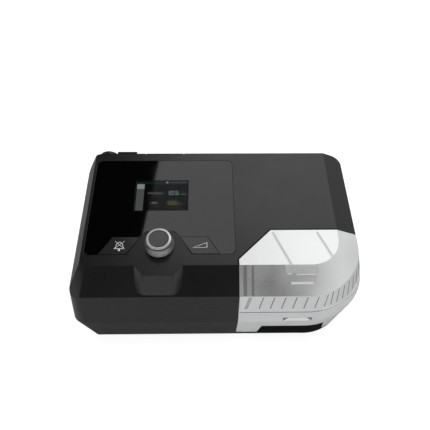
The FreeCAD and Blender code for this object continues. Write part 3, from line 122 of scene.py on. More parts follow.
def blend_colour(tree, factor, first, second, mode="MIX"):
    """Mix of two colours, each a plain colour or a socket; returns its output."""
    mix = add(tree, "ShaderNodeMix", data_type="RGBA", blend_type=mode)
    for label, value in (("Factor", factor), ("A", first), ("B", second)):
        sockets = [s for s in mix.inputs if s.name == label and (label == "Factor" or s.type == "RGBA")]
        socket = sockets[0]
        if isinstance(value, (int, float, tuple)):
            socket.default_value = value
        else:
            tree.links.new(value, socket)
    return next(s for s in mix.outputs if s.type == "RGBA")


def remap(tree, value, low, high, to_low, to_high):
    """Straight change of a value from one range to another, held at its ends."""
    spread = add(tree, "ShaderNodeMapRange")
    drive(tree, spread, Value=value)
    for label, number in (("From Min", low), ("From Max", high), ("To Min", to_low), ("To Max", to_high)):
        if isinstance(number, (int, float)):
            spread.inputs[label].default_value = number
        else:
            tree.links.new(number, spread.inputs[label])
    return spread.outputs["Result"]


def over_noise(tree, value, low=0.0, high=1.0):
    """Spread the middle range of a noise from low to high."""
    return remap(tree, value, *NOISE_MIDDLE, low, high)


def on_object(tree, texture):
    """Lay a texture node out in the object's own coordinates."""
    place = add(tree, "ShaderNodeTexCoord")
    drive(tree, texture, Vector=place.outputs["Object"])
    return texture


def object_noise(tree, scale, detail=2.0, rough=0.5):
    """Noise in the object's own coordinates; returns its factor."""
    noise = add(tree, "ShaderNodeTexNoise", Scale=scale, Detail=detail, Roughness=rough)
    return on_object(tree, noise).outputs["Fac"]


# ---- shared effects
FINE_SCALE, PIT_SCALE, PIT_SHARE = 2600.0, 1900.0, 0.8
SMUDGE_RANGE = (0.35, 0.7)
EDGE_RANGE, EDGE_SAMPLES = (0.97, 0.8), 6
BRUSH_STRETCH = (60.0, 2400.0, 2400.0)
PORE_RANGE = (0.15, 0.5)
TRACK_RANGE, PAD_RANGE = (0.04, 0.07), (0.12, 0.15)


def make_moulded_skin():
    """Spark-eroded plastic skin: fine grain, slow tone drift and handling smudges in the gloss."""
    group, source, target = group_shell(
        "moulded_skin",
        [("Color", COLOUR, (0.02, 0.02, 0.02, 1)), ("Drift", FLOAT, 0.12),
         ("Roughness", FLOAT, 0.4), ("Smudge", FLOAT, 0.06), ("Grain", FLOAT, 1.0)],
        [("Color", COLOUR), ("Roughness", FLOAT), ("Height", FLOAT)])
    slow = object_noise(group, scale=9.0, detail=3.0)
    fine = object_noise(group, scale=FINE_SCALE, detail=1.0)
    pits = on_object(group, add(group, "ShaderNodeTexVoronoi", Scale=PIT_SCALE))
    low = math_step(group, "SUBTRACT", 1.0, source.outputs["Drift"])
    high = math_step(group, "ADD", 1.0, source.outputs["Drift"])
    tone = over_noise(group, slow, low, high)
    shade = add(group, "ShaderNodeCombineColor")
    drive(group, shade, Red=tone, Green=tone, Blue=tone)
    colour = blend_colour(group, 1.0, source.outputs["Color"], shade.outputs["Color"], "MULTIPLY")
    smudges = object_noise(group, scale=34.0, detail=4.0, rough=0.6)
    smudges = remap(group, smudges, *SMUDGE_RANGE, 0.0, 1.0)
    spread = math_step(group, "MULTIPLY", smudges, source.outputs["Smudge"])
    bumps = math_step(group, "ADD", fine, math_step(group, "MULTIPLY", pits.outputs["Distance"], PIT_SHARE))
    drive(group, target, Color=colour, Roughness=math_step(group, "ADD", source.outputs["Roughness"], spread),
          Height=math_step(group, "MULTIPLY", bumps, source.outputs["Grain"]))
    return group


def make_soft_edge():
    """Small moulded radius on each edge, as a normal, and a mask of the edges where the finishes paint a
    lighter highlight or a darker shade.
    """
    group, source, target = group_shell(
        "soft_edge", [("Radius", FLOAT, 0.0004)],
        [("Normal", VECTOR), ("Edge", FLOAT)])
    bevel = group.nodes.new("ShaderNodeBevel")
    bevel.samples = EDGE_SAMPLES
    drive(group, bevel, Radius=source.outputs["Radius"])
    flat = add(group, "ShaderNodeNewGeometry")
    match = add(group, "ShaderNodeVectorMath", operation="DOT_PRODUCT")
    group.links.new(bevel.outputs["Normal"], match.inputs[0])
    group.links.new(flat.outputs["Normal"], match.inputs[1])
    drive(group, target, Normal=bevel.outputs["Normal"],
          Edge=remap(group, match.outputs["Value"], *EDGE_RANGE, 0.0, 1.0))
    return group


def make_turned_rings():
    """Lathe rings round an axis through Centre along the deck's normal."""
    group, source, target = group_shell(
        "turned_rings",
        [("Centre", VECTOR, (0, 0, 0)), ("Pitch", FLOAT, 0.00012)],
        [("Height", FLOAT), ("Streak", FLOAT)])
    place = add(group, "ShaderNodeTexCoord")
    offset = add(group, "ShaderNodeVectorMath", operation="SUBTRACT")
    group.links.new(place.outputs["Object"], offset.inputs[0])
    group.links.new(source.outputs["Centre"], offset.inputs[1])
    along = add(group, "ShaderNodeVectorMath", operation="DOT_PRODUCT")
    along.inputs[1].default_value = DECK_NORMAL
    group.links.new(offset.outputs["Vector"], along.inputs[0])
    reach = add(group, "ShaderNodeVectorMath", operation="LENGTH")
    group.links.new(offset.outputs["Vector"], reach.inputs[0])
    path = math_step(group, "ADD", along.outputs["Value"], reach.outputs["Value"])
    turns = math_step(group, "DIVIDE", path, source.outputs["Pitch"])
    wave = math_step(group, "SINE", math_step(group, "MULTIPLY", turns, 2 * math.pi), 0.0)
    rings = add(group, "ShaderNodeTexNoise", noise_dimensions="1D", Scale=0.35, Detail=3.0)
    drive(group, rings, W=turns)
    drive(group, target, Height=wave, Streak=rings.outputs["Fac"])
    return group


def make_brushed_lines():
    """Short parallel brush marks along X."""
    group, source, target = group_shell(
        "brushed_lines", [("Fineness", FLOAT, 1.0)],
        [("Height", FLOAT), ("Streak", FLOAT)])
    stretch = on_object(group, add(group, "ShaderNodeMapping"))
    stretch.inputs["Scale"].default_value = BRUSH_STRETCH
    marks = add(group, "ShaderNodeTexNoise", Detail=4.0)
    drive(group, marks, Vector=stretch.outputs["Vector"], Scale=source.outputs["Fineness"])
    drive(group, target, Height=marks.outputs["Fac"], Streak=object_noise(group, scale=120.0, detail=3.0))
    return group


def make_flow_marks():
    """Faint flow lines and thickness change of a clear moulding."""
    group, source, target = group_shell(
        "flow_marks", [("Scale", FLOAT, 30.0)],
        [("Height", FLOAT), ("Haze", FLOAT)])
    waves = on_object(group, add(group, "ShaderNodeTexWave", Distortion=5.0, Detail=2.0))
    drive(group, waves, Scale=source.outputs["Scale"])
    drive(group, target, Height=waves.outputs["Fac"], Haze=object_noise(group, scale=45.0, detail=3.0))
    return group


def make_open_cells():
    """Cells of a filter foam: dark pores between light struts."""
    group, source, target = group_shell(
        "open_cells", [("Scale", FLOAT, 900.0)],
        [("Height", FLOAT), ("Pore", FLOAT)])
    cells = on_object(group, add(group, "ShaderNodeTexVoronoi", feature="F1"))
    drive(group, cells, Scale=source.outputs["Scale"])
    drive(group, target, Height=cells.outputs["Distance"],
          Pore=remap(group, cells.outputs["Distance"], *PORE_RANGE, 1.0, 0.0))
    return group


def make_board_tracks():
    """Copper tracks and pads under a solder mask."""
    group, source, target = group_shell(
        "board_tracks", [("Pitch", FLOAT, 0.004)],
        [("Track", FLOAT), ("Pad", FLOAT)])
    scale = math_step(group, "DIVIDE", 1.0, source.outputs["Pitch"])
    for output, feature, fade in (("Track", "DISTANCE_TO_EDGE", TRACK_RANGE), ("Pad", "F1", PAD_RANGE)):
        cells = on_object(group, add(group, "ShaderNodeTexVoronoi", feature=feature))
        drive(group, cells, Scale=scale)
        drive(group, target, **{output: remap(group, cells.outputs["Distance"], *fade, 1.0, 0.0)})
    return group


SKIN = make_moulded_skin()
EDGE = make_soft_edge()
RINGS = make_turned_rings()
BRUSH = make_brushed_lines()
FLOW = make_flow_marks()
CELLS = make_open_cells()
TRACKS = make_board_tracks()


# ---- finishes
def finish_shell(name, **constants):
    """Material with one Principled shader whose plain values are set on its own sockets."""
    material = bpy.data.materials.new(name)
    material.use_nodes = True
    tree = material.node_tree
    shader = tree.nodes["Principled BSDF"]
    for label, value in constants.items():
        shader.inputs[label.replace("_", " ")].default_value = value
    return material, tree, shader


def place_group(tree, group, **values):
    """Use a node group in a material, with plain values on its inputs."""
    placed = tree.nodes.new("ShaderNodeGroup")
    placed.node_tree = group
    for label, value in values.items():
        placed.inputs[label].default_value = value
    return placed


def raise_surface(tree, shader, height, depth, normal=None):
    """Bump whose full height is a depth in metres, over the soft edge's normal where one is given."""
    bump = add(tree, "ShaderNodeBump", Strength=1.0, Distance=depth)
    drive(tree, bump, Height=height)
    if normal is not None:
        drive(tree, bump, Normal=normal)
    drive(tree, shader, Normal=bump.outputs["Normal"])


# Painted edge highlight: how far soft edges blend towards a lighter copy of the colour, and how much glossier
# they get.
EDGE_HIGHLIGHT = 0.5
EDGE_GLOSS = -0.15
HIGHLIGHT_GAIN, HIGHLIGHT_LIFT = 1.6, 0.004
BRUSHED_SPREAD = 0.12


def moulded_plastic(name, colour, roughness, depth=0.000012, edge=0.0004, drift=0.12, **constants):
    """Moulded plastic: skin grain, and soft edges a little glossier, with a painted highlight that makes them
    lighter.
    """
    material, tree, shader = finish_shell(name, **constants)
    skin = place_group(tree, SKIN, Color=(*colour, 1), Roughness=roughness, Drift=drift)
    rim = place_group(tree, EDGE, Radius=edge)
    # Painted highlight: lighter copy of the colour that the soft edges blend towards.
    highlight_tone = tuple(min(1.0, channel * HIGHLIGHT_GAIN + HIGHLIGHT_LIFT) for channel in colour)
    edge_highlight = math_step(tree, "MULTIPLY", rim.outputs["Edge"], EDGE_HIGHLIGHT)
    surface = blend_colour(tree, edge_highlight, skin.outputs["Color"], (*highlight_tone, 1))
    smoother = math_step(tree, "MULTIPLY", edge_highlight, EDGE_GLOSS)
    smoother = math_step(tree, "ADD", skin.outputs["Roughness"], smoother)
    drive(tree, shader, Base_Color=surface, Roughness=smoother)
    raise_surface(tree, shader, skin.outputs["Height"], depth, normal=rim.outputs["Normal"])
    return material


def gloss_black():
    """Polished black that mirrors the room a little unevenly."""
    material, tree, shader = finish_shell("gloss_black", IOR=1.5)
    skin = place_group(tree, SKIN, Color=(0.0006, 0.0006, 0.0007, 1), Roughness=0.03, Drift=0.1,
                       Smudge=0.02)
    rim = place_group(tree, EDGE, Radius=0.0003)
    drive(tree, shader, Base_Color=skin.outputs["Color"], Roughness=skin.outputs["Roughness"])
    waves = object_noise(tree, scale=14.0, detail=1.0)
    raise_surface(tree, shader, waves, depth=0.00001, normal=rim.outputs["Normal"])
    return material


def display_glass():
    """Thin coated window: almost all of the picture comes through, and little of the room shines back."""
    material, tree, shader = finish_shell("display_glass", IOR=1.5, Alpha=0.2)
    marks = place_group(tree, FLOW, Scale=10.0)
    haze = over_noise(tree, marks.outputs["Haze"])
    tone = blend_colour(tree, haze, (0.001, 0.001, 0.001, 1), (0.002, 0.002, 0.002, 1))
    drive(tree, shader, Base_Color=tone, Roughness=remap(tree, haze, 0.0, 1.0, 0.03, 0.05))
    raise_surface(tree, shader, marks.outputs["Height"], depth=0.0000001)
    return material


def knob_silver():
    """Satin turned aluminium."""
    material, tree, shader = finish_shell("silver", Metallic=1.0)
    centre = (knob_low + knob_high) / 2
    rings = place_group(tree, RINGS, Centre=centre, Pitch=0.0002)
    rim = place_group(tree, EDGE, Radius=0.0002)
    tone = over_noise(tree, rings.outputs["Streak"])
    drive(tree, shader, Base_Color=blend_colour(tree, tone, (0.84, 0.84, 0.85, 1), (0.93, 0.93, 0.94, 1)),
          Roughness=over_noise(tree, rings.outputs["Streak"], 0.30, 0.40))
    raise_surface(tree, shader, rings.outputs["Height"], depth=0.0000015, normal=rim.outputs["Normal"])
    return material


def brushed_metal(name, light, dark, roughness):
    """Metal between two tones, with short brush marks."""
    material, tree, shader = finish_shell(name, Metallic=1.0)
    marks = place_group(tree, BRUSH)
    rim = place_group(tree, EDGE, Radius=0.0002)
    tone = over_noise(tree, marks.outputs["Streak"])
    drive(tree, shader, Base_Color=blend_colour(tree, tone, (*dark, 1), (*light, 1)),
          Roughness=over_noise(tree, marks.outputs["Height"], roughness, roughness + BRUSHED_SPREAD))
    raise_surface(tree, shader, marks.outputs["Height"], depth=0.000004, normal=rim.outputs["Normal"])
    return material


def clear_moulding():
    """Clear polycarbonate with faint flow marks, hazier patches and painted shade that darkens its edges."""
    material, tree, shader = finish_shell("clear_plastic", IOR=1.3, Transmission_Weight=0.9, Metallic=0.0)
    marks = place_group(tree, FLOW, Scale=18.0)
    rim = place_group(tree, EDGE, Radius=0.0004)
    haze = over_noise(tree, marks.outputs["Haze"])
    body = blend_colour(tree, haze, (0.97, 0.975, 0.98, 1), (0.985, 0.99, 0.995, 1))
    # Painted shade: the edges blend towards dark grey.
    drive(tree, shader, Base_Color=blend_colour(tree, rim.outputs["Edge"], body, (0.42, 0.425, 0.43, 1)),
          Roughness=over_noise(tree, marks.outputs["Haze"], 0.01, 0.04))
    raise_surface(tree, shader, marks.outputs["Height"], depth=0.0000005, normal=rim.outputs["Normal"])
    return material


COOL_TINT = (1, 1.005, 1.01)
CLOUD_SHARE = 0.25


def frosted_wall(name, tone, cover, roughness=0.7, drift=0.06, ramp=None):
    """Frosted skin of a chamber wall: its tone, and the share of what lies behind that it covers.

    The tone drops by up to drift, in random clouds and, with the optional gradient along X, from its second
    place to its first, so that one end is painted darker as painted shade.
    """
    material, tree, shader = finish_shell(name, Roughness=roughness, Specular_IOR_Level=0.3, Alpha=cover)
    grain = object_noise(tree, scale=1500.0)
    cloud = over_noise(tree, object_noise(tree, scale=20.0))
    light, dark = [(*(level * tint for tint in COOL_TINT), 1) for level in (tone, tone * (1 - drift))]
    # Painted shade: the tone climbs from dark to light along X between the two places given.
    if ramp is not None:
        split = on_object(tree, add(tree, "ShaderNodeSeparateXYZ"))
        climb = math_step(tree, "MULTIPLY", remap(tree, split.outputs["X"], *ramp, 0.0, 1.0), 1 - CLOUD_SHARE)
        cloud = math_step(tree, "ADD", climb, math_step(tree, "MULTIPLY", cloud, CLOUD_SHARE))
    drive(tree, shader, Base_Color=blend_colour(tree, cloud, dark, light))
    raise_surface(tree, shader, grain, depth=0.000003)
    return material


def foam():
    """Grey filter foam with dark pores."""
    material, tree, shader = finish_shell("foam")
    cells = place_group(tree, CELLS)
    pore = cells.outputs["Pore"]
    drive(tree, shader, Base_Color=blend_colour(tree, pore, (0.16, 0.16, 0.17, 1), (0.02, 0.02, 0.02, 1)),
          Roughness=remap(tree, pore, 0.0, 1.0, 0.8, 0.95))
    raise_surface(tree, shader, cells.outputs["Height"], depth=0.0004)
    return material


def circuit_board():
    """Green board with tracks under its mask and tinned pads."""
    material, tree, shader = finish_shell("circuit_board")
    copper = place_group(tree, TRACKS)
    rim = place_group(tree, EDGE, Radius=0.0002)
    masked = blend_colour(tree, copper.outputs["Track"], (0.012, 0.085, 0.04, 1), (0.03, 0.17, 0.075, 1))
    tinned = blend_colour(tree, copper.outputs["Pad"], masked, (0.55, 0.52, 0.42, 1))
    drive(tree, shader, Base_Color=tinned, Metallic=copper.outputs["Pad"],
          Roughness=remap(tree, copper.outputs["Track"], 0.0, 1.0, 0.35, 0.25))
    raise_surface(tree, shader, copper.outputs["Track"], depth=0.00004, normal=rim.outputs["Normal"])
    return material


PICTURE_DIP = 0.85


def lit_picture(name, colour):
    """Lit part of the display, with the fine grid of its picture points."""
    material, tree, shader = finish_shell(name, Roughness=0.5, Specular_IOR_Level=0.05,
                                          Emission_Strength=1.0)
    shader.inputs["Base Color"].default_value = (0.002, 0.002, 0.002, 1)
    points = on_object(tree, add(tree, "ShaderNodeTexWave", Scale=2600.0))
    dimmed = tuple(channel * PICTURE_DIP for channel in colour)
    drive(tree, shader, Emission_Color=blend_colour(tree, points.outputs["Fac"], (*dimmed, 1), (*colour, 1)))
    return material


FROSTED = frosted_wall("frosted_wall", 0.93, 1.0)
# Lid's top: painted shade darkens it towards its left end.
SHADED_MILK_TOP = frosted_wall("milk_top_painted_shade", 0.99, 0.68, 0.12, drift=0.16, ramp=(0.022, 0.066))
BAND_FROST = frosted_wall("frosted_band", 0.93, 0.8, 0.2)
# Sloping facet: painted shade, dark grey at its left end and lighter to the right.
SHADED_FACET_SKIN = frosted_wall("facet_painted_shade", 0.95, 0.48, 0.15, drift=0.72, ramp=(0.040, 0.100))
# Painted shade: dark grey on the clear ribs.
RIB_SHADE = frosted_wall("rib_painted_shade", 0.36, 0.75, 0.2)
GRIP_FROST = frosted_wall("frosted_grip", 0.80, 0.5, 0.2)
RIM_WHITE = frosted_wall("white_rim", 0.95, 0.9)
END_FROST = frosted_wall("frosted_end", 0.17, 0.27, 0.3)
PANEL_FROST = frosted_wall("frosted_panel", 0.74, 0.2, 0.2)
SHADE_FROST = frosted_wall("frosted_shade", 0.25, 0.17, 0.3)
# Painted shade round the latch's slot.
SLOT_SHADE = frosted_wall("slot_painted_shade", 0.16, 0.8, 0.4)
# Painted shadow of the gap where lid and base meet.
JOINT_SHADOW = frosted_wall("joint_painted_shadow", 0.07, 0.9)
# Matt black of the platform lip, also used for the painted shadow of the gap round the chamber.
DARK_LIP_AND_GAP_SHADOW = moulded_plastic("lip_black_and_gap_shadow", (0.004, 0.004, 0.0042), 0.8, depth=0.000005, Specular_IOR_Level=0.06)
SEAM = moulded_plastic("weld_seam", (0.47, 0.475, 0.48), 0.4)
PRINT = moulded_plastic("key_print", (0.62, 0.62, 0.61), 0.45, depth=0.000003, edge=0.0001)

FINISHES = {
    "housing_black": moulded_plastic("housing_black", (0.0070, 0.0070, 0.0074), 0.27, depth=0.000005),
    "gloss_black": gloss_black(),
    "key_black": moulded_plastic("key_black", (0.012, 0.012, 0.0125), 0.16, depth=0.000004, edge=0.0003),
    "display_glass": display_glass(),
    "silver": knob_silver(),
    "steel": brushed_metal("steel", (0.62, 0.63, 0.64), (0.46, 0.47, 0.48), 0.25),
    "heater_metal": brushed_metal("heater_metal", (0.52, 0.52, 0.53), (0.40, 0.40, 0.41), 0.35),
    "clear_plastic": clear_moulding(),
    "silicone": moulded_plastic("silicone", (0.62, 0.63, 0.64), 0.55, depth=0.00001, Subsurface_Weight=0.2,
                                Subsurface_Scale=0.002),
    "inner_plastic": moulded_plastic("inner_plastic", (0.09, 0.09, 0.095), 0.5),
    "white_plastic": moulded_plastic("white_plastic", (0.72, 0.72, 0.70), 0.42),
    "port_plastic": moulded_plastic("port_plastic", (0.012, 0.012, 0.013), 0.4),
    "rubber": moulded_plastic("rubber", (0.028, 0.028, 0.029), 0.75, depth=0.00003, drift=0.2),
    "foam": foam(),
    "circuit_board": circuit_board(),
    "chip_black": moulded_plastic("chip_black", (0.03, 0.03, 0.031), 0.6),
}
OWN_FINISH = {
    "display_module": moulded_plastic("lcd_face", (0.0012, 0.0014, 0.0015), 0.5, depth=0.000001,
                                      edge=0.0002, Specular_IOR_Level=0.05),
    "knob_insert": moulded_plastic("insert_black", (0.045, 0.045, 0.046), 0.32, depth=0.000006, edge=0.0003),
    "chamber_seal": moulded_plastic("seal_grey", (0.10, 0.10, 0.105), 0.6),
    "lower_housing": moulded_plastic("tray_black", (0.0270, 0.0270, 0.0280), 0.42, depth=0.00002,
                                     Specular_IOR_Level=0.12),
    "chamber_latch": moulded_plastic("latch_milky", (0.86, 0.865, 0.87), 0.3),
}


def dress_nodes():
    """Give every node of the frame its own finish, or else the finish of its slot."""
    slots = {row["node"]: row["material_slot"] for row in frame["record"]["subparts"]}
    for name, obj in nodes.items():
        finish = OWN_FINISH.get(name, FINISHES[slots[name]])
        obj.data.materials.clear()
        obj.data.materials.append(finish)


dress_nodes()


# ---- display picture and key symbols
def deck_point(x, y, rise):
    """Point over the sloping deck: x and y in plan, rise along the deck's normal, all in mm."""
    run = (y * MM - deck_edge.y) / math.cos(SLOPE)
    return Vector((x * MM, 0, 0)) + deck_edge + DECK_BACK * run + DECK_NORMAL * (rise * MM)


def mount_piece(name, shape, finish, body):
    """Turn a finished bmesh into a piece of the scene that rides on a body."""
    mesh = bpy.data.meshes.new(name)
    shape.to_mesh(mesh)
    shape.free()
    mesh.materials.append(finish)
    piece = bpy.data.objects.new(name, mesh)
    bpy.context.scene.collection.objects.link(piece)
    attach(piece, body)


def add_prism(shape, first, second):
    """Closed solid between two rings of points that run the same way round."""
    first, second = [[shape.verts.new(point) for point in ring] for ring in (first, second)]
    shape.faces.new(first)
    shape.faces.new(second[::-1])
    for here in range(len(first)):
        after = (here + 1) % len(first)
        shape.faces.new((first[here], second[here], second[after], first[after]))


def deck_plate(name, outlines, rise, thick, finish, body):
    """Thin raised print on the deck's slope, from closed outlines in plan."""
    shape = bmesh.new()
    for corners in outlines:
        add_prism(shape, *([deck_point(x, y, level) for x, y in corners] for level in (rise + thick, rise)))
    bmesh.ops.recalc_face_normals(shape, faces=shape.faces)
    mount_piece(name, shape, finish, body)


def rounded(low_x, low_y, high_x, high_y, radius, steps=5):
    """Rectangle with round corners, counter-clockwise."""
    left, right, front, back = low_x + radius, high_x - radius, low_y + radius, high_y - radius
    corners = []
    for centre_x, centre_y, start in ((right, back, 0), (left, back, 90), (left, front, 180),
                                      (right, front, 270)):
        for step in range(steps + 1):
            angle = math.radians(start + 90 * step / steps)
            corners.append((centre_x + radius * math.cos(angle), centre_y + radius * math.sin(angle)))
    return corners


def disc(x, y, radius, steps=20):
    """Circle as a closed outline."""
    angles = [2 * math.pi * number / steps for number in range(steps)]
    return [(x + radius * math.cos(angle), y + radius * math.sin(angle)) for angle in angles]


MITRE_LIMIT = 0.35


def stroke(points, width, closed=False):
    """Outlines of a line of even width through the points, mitred at its corners."""
    count = len(points)
    sides = ([], [])
    for here, (x, y) in enumerate(points):
        before = points[here - 1] if here or closed else None
        after = points[(here + 1) % count] if here < count - 1 or closed else None
        ways = []
        for start, end in ((before, (x, y)), ((x, y), after)):
            if start is not None and end is not None:
                way = Vector((end[0] - start[0], end[1] - start[1])).normalized()
                ways.append(Vector((-way.y, way.x)))
        normal = sum(ways, Vector((0, 0))).normalized()
        reach = width / 2 / max(MITRE_LIMIT, normal.dot(ways[0]))
        for side, sign in zip(sides, (1, -1)):
            side.append((x + normal.x * reach * sign, y + normal.y * reach * sign))
    pieces = []
    for here in range(count if closed else count - 1):
        after = (here + 1) % count
        pieces.append([sides[0][here], sides[0][after], sides[1][after], sides[1][here]])
    return pieces


# Strokes of a plain figure: 0 top, 1 top right, 2 low right, 3 low, 4 low left, 5 top left, 6 middle.
SEGMENTS = {"0": "012345", "1": "12", "5": "02356"}
DOT_RISE, DOT_RADIUS, DOT_PITCH = 0.7, 0.75, 3.2
DASH_ROUND = 0.15


def figure(character, x, y, width, height, line):
    """Outlines of one plain figure with its lower left corner at x, y."""
    if character == ".":
        return [disc(x + line, y + line * DOT_RISE, line * DOT_RADIUS, steps=10)]
    right, middle, top = x + width, y + height / 2, y + height
    lines = [((x, top), (right, top)), ((right, top), (right, middle)), ((right, middle), (right, y)),
             ((right, y), (x, y)), ((x, y), (x, middle)), ((x, middle), (x, top)),
             ((x, middle), (right, middle))]
    made = []
    for key in SEGMENTS[character]:
        (ax, ay), (bx, by) = lines[int(key)]
        way = Vector((bx - ax, by - ay)).normalized() * (line / 2)
        made += stroke([(ax - way.x, ay - way.y), (bx + way.x, by + way.y)], line)
    return made


def reading(text, x, y, width, height, line, pitch):
    """Outlines of a row of figures, from its lower left corner."""
    made = []
    for character in text:
        made += figure(character, x, y, width, height, line)
        x += line * DOT_PITCH if character == "." else pitch
    return made


def dashes(x, y, width, gap, count, height=1.25):
    """Row of short blocks that stands for a line of small print."""
    return [rounded(start, y, start + width, y + height, DASH_ROUND) for start in
            (x + (width + gap) * number for number in range(count))]


LCD_LEFT, LCD_RIGHT, LCD_FRONT, LCD_BACK = -78.6, -31.4, -1.9, 31.6
PICTURE_RISE = -1.46
PICTURE_THICK = 0.02
HEADER_LOW = 28.9
LEVEL_LOW = 23.0
BAR_RIGHT = -71.8


def show_display():
    """Lit picture under the display's window: header band, level bar and two readings."""
    teal = lit_picture("picture_teal", (0.003, 0.014, 0.014))
    grey = lit_picture("picture_grey", (0.080, 0.085, 0.086))
    soft = lit_picture("picture_soft", (0.12, 0.125, 0.125))
    pale = lit_picture("picture_pale", (0.26, 0.28, 0.28))
    bright = lit_picture("picture_bright", (0.60, 0.66, 0.66))
    aqua = lit_picture("picture_aqua", (0.45, 0.68, 0.70))
    olive = lit_picture("picture_olive", (0.36, 0.40, 0.15))
    rows = (
        ("picture_header", [rounded(LCD_LEFT, HEADER_LOW, LCD_RIGHT, LCD_BACK, 0.2)], teal),
        ("picture_bar", [rounded(LCD_LEFT, LCD_FRONT, BAR_RIGHT, LEVEL_LOW, 0.15)], grey),
        ("picture_level", [rounded(LCD_LEFT, LEVEL_LOW, BAR_RIGHT, HEADER_LOW - 0.3, 0.15)], pale),
        ("picture_reading_upper", reading("10.5", -51.1, 16.4, 2.3, 4.0, 0.24, 3.8), aqua),
        ("picture_reading_lower", reading("500", -49.4, 5.0, 1.8, 4.0, 0.2, 2.95), olive),
        ("picture_captions", dashes(-68.2, 17.0, 0.85, 0.7, 9, 1.9) + dashes(-64.2, 6.1, 1.4, 0.45, 3, 2.0)
         + dashes(-37.4, 16.2, 0.8, 0.4, 4) + dashes(-40.3, 5.8, 0.8, 0.4, 3), soft),
    )
    for name, outlines, finish in rows:
        deck_plate(name, outlines, PICTURE_RISE, PICTURE_THICK, finish, "housing")
    over = PICTURE_RISE + PICTURE_THICK
    words = dashes(-47.3, 29.8, 0.9, 0.5, 6, 1.1) + dashes(-38.2, 29.8, 0.9, 0.5, 4, 1.1)
    for name, outlines, finish in (("picture_status", [disc(-50.8, 30.4, 0.75)], bright),
                                   ("picture_status_text", words, soft)):
        deck_plate(name, outlines, over, PICTURE_THICK, finish, "housing")


KEY_TOP = 0.2
PRINT_THICK = 0.03
LINE = 0.4
CROSS_SHARE = 0.8
BELL_X, BELL_FOOT = -88.45, -41.3
WEDGE = [(-25.9, -40.6), (-14.2, -40.6), (-14.2, -35.8)]


def bell_outline(x, base):
    """Bell's side, from its left foot over the crown to its right foot."""
    half = [(4.3, 0.0), (3.1, 1.5), (2.9, 3.2), (2.1, 5.2), (0.8, 6.2)]
    return [(x - dx, base + dy) for dx, dy in half] + [(x + dx, base + dy) for dx, dy in half[::-1]]


def print_mute_symbol():
    """Bell with a clapper, crossed out."""
    lines = stroke(bell_outline(BELL_X, BELL_FOOT), LINE, closed=True)
    for side in (1, -1):
        cross = [(BELL_X - 4.0 * side, BELL_FOOT + 7.2), (BELL_X + 4.2 * side, BELL_FOOT - 0.2)]
        lines += stroke(cross, LINE * CROSS_SHARE)
    clapper = [disc(BELL_X, BELL_FOOT - 1.3, 0.95)]
    for name, outlines in (("mute_symbol", lines), ("mute_clapper", clapper)):
        deck_plate(name, outlines, KEY_TOP, PRINT_THICK, PRINT, "mute_key")


def print_ramp_symbol():
    """Rising wedge, drawn as an outline."""
    deck_plate("ramp_symbol", stroke(WEDGE, LINE, closed=True), KEY_TOP, PRINT_THICK, PRINT, "ramp_key")


show_display()
print_mute_symbol()
print_ramp_symbol()


# ---- water chamber
SKIN_GAP = 0.03 * MM
SKIN_THICK = 0.1 * MM
SKIN_SUNK = -0.16 * MM
SHARP = math.radians(20)
SAME_SPOT = 0.00001
CHAMBER_HEART = Vector((0.065, -0.045, 0))
JOINT_HEIGHT = 0.0568
RIB_AREA = ((0.02, 0.088), (-0.0765, -0.0752), (0.0625, 0.0805))
LIP_AREA = ((0.033, 0.096), (-1, -0.05), (-1, 0.0287))
OUTER, FACET_OUT, RIB_OUT = 0.3, 0.05, 0.75
UPRIGHT, WALL_LEAN, RIB_LEAN, TOP_LEAN, LEVEL = 0.1, 0.45, 0.5, 0.985, 0.99
BACKWARD, LEFTWARD, FORWARD, RIGHTWARD, LIP_FORWARD = 0.6, -0.9, -0.15, 0.7, -0.3
RIGHT_HALF, LID_TOP_LOW, ALONG_DECK, JOINT_REACH = 0.1, 0.095, 0.999, 0.0005


def skin_of(name, node, wanted, gap, finish, body):
    """Thin skin on the chosen faces of a node: in front of them, or behind where the gap is negative."""
    shape = bmesh.new()
    shape.from_mesh(nodes[node].data)
    bmesh.ops.delete(shape, geom=[face for face in shape.faces if not wanted(face)], context="FACES")
    bmesh.ops.remove_doubles(shape, verts=shape.verts, dist=SAME_SPOT)
    shape.normal_update()
    for vertex in shape.verts:
        vertex.co = vertex.co + vertex.normal * (gap + SKIN_THICK)
    bmesh.ops.solidify(shape, geom=shape.faces, thickness=SKIN_THICK)
    for edge in shape.edges:
        edge.smooth = edge.calc_face_angle(math.pi) < SHARP
    mount_piece(name, shape, finish, body)


def lies_in(face, area):
    """Whether the face's middle is between the low and high of the area on each axis, in metres."""
    return all(low < place < high for place, (low, high) in zip(face.calc_center_median(), area))


def outward(face):
    """How far the face looks away from the chamber's middle, in plan: 1 straight out, -1 straight in."""
    reach = face.calc_center_median() - CHAMBER_HEART
    reach.z = 0
    return face.normal.dot(reach.normalized())


def backs_onto_bay(face):
    """Outer wall at the chamber's back, cut corner or left."""
    way = face.normal
    return abs(way.z) < UPRIGHT and outward(face) > OUTER and (way.y > BACKWARD or way.x < LEFTWARD)


def faces_out_front(face):
    """Outer side of the walls at the front, the round corner and the right."""
    way = face.normal
    at_right = way.x > RIGHTWARD and face.calc_center_median().x > RIGHT_HALF
    return abs(way.z) < WALL_LEAN and (way.y < FORWARD or at_right) and outward(face) > OUTER


def is_rib(face):
    """Side or inner edge of the ribs behind the lid's front wall."""
    return lies_in(face, RIB_AREA) and abs(face.normal.z) < RIB_LEAN and outward(face) < RIB_OUT


def is_lid_top(face):
    """Lid's flat top."""
    return face.normal.dot(DECK_NORMAL) > ALONG_DECK and face.calc_center_median().z > LID_TOP_LOW


def is_sloping_facet(face):
    """Facet between the lid's top and its front wall, and where it runs round the corner."""
    return WALL_LEAN <= face.normal.z < TOP_LEAN and outward(face) > FACET_OUT


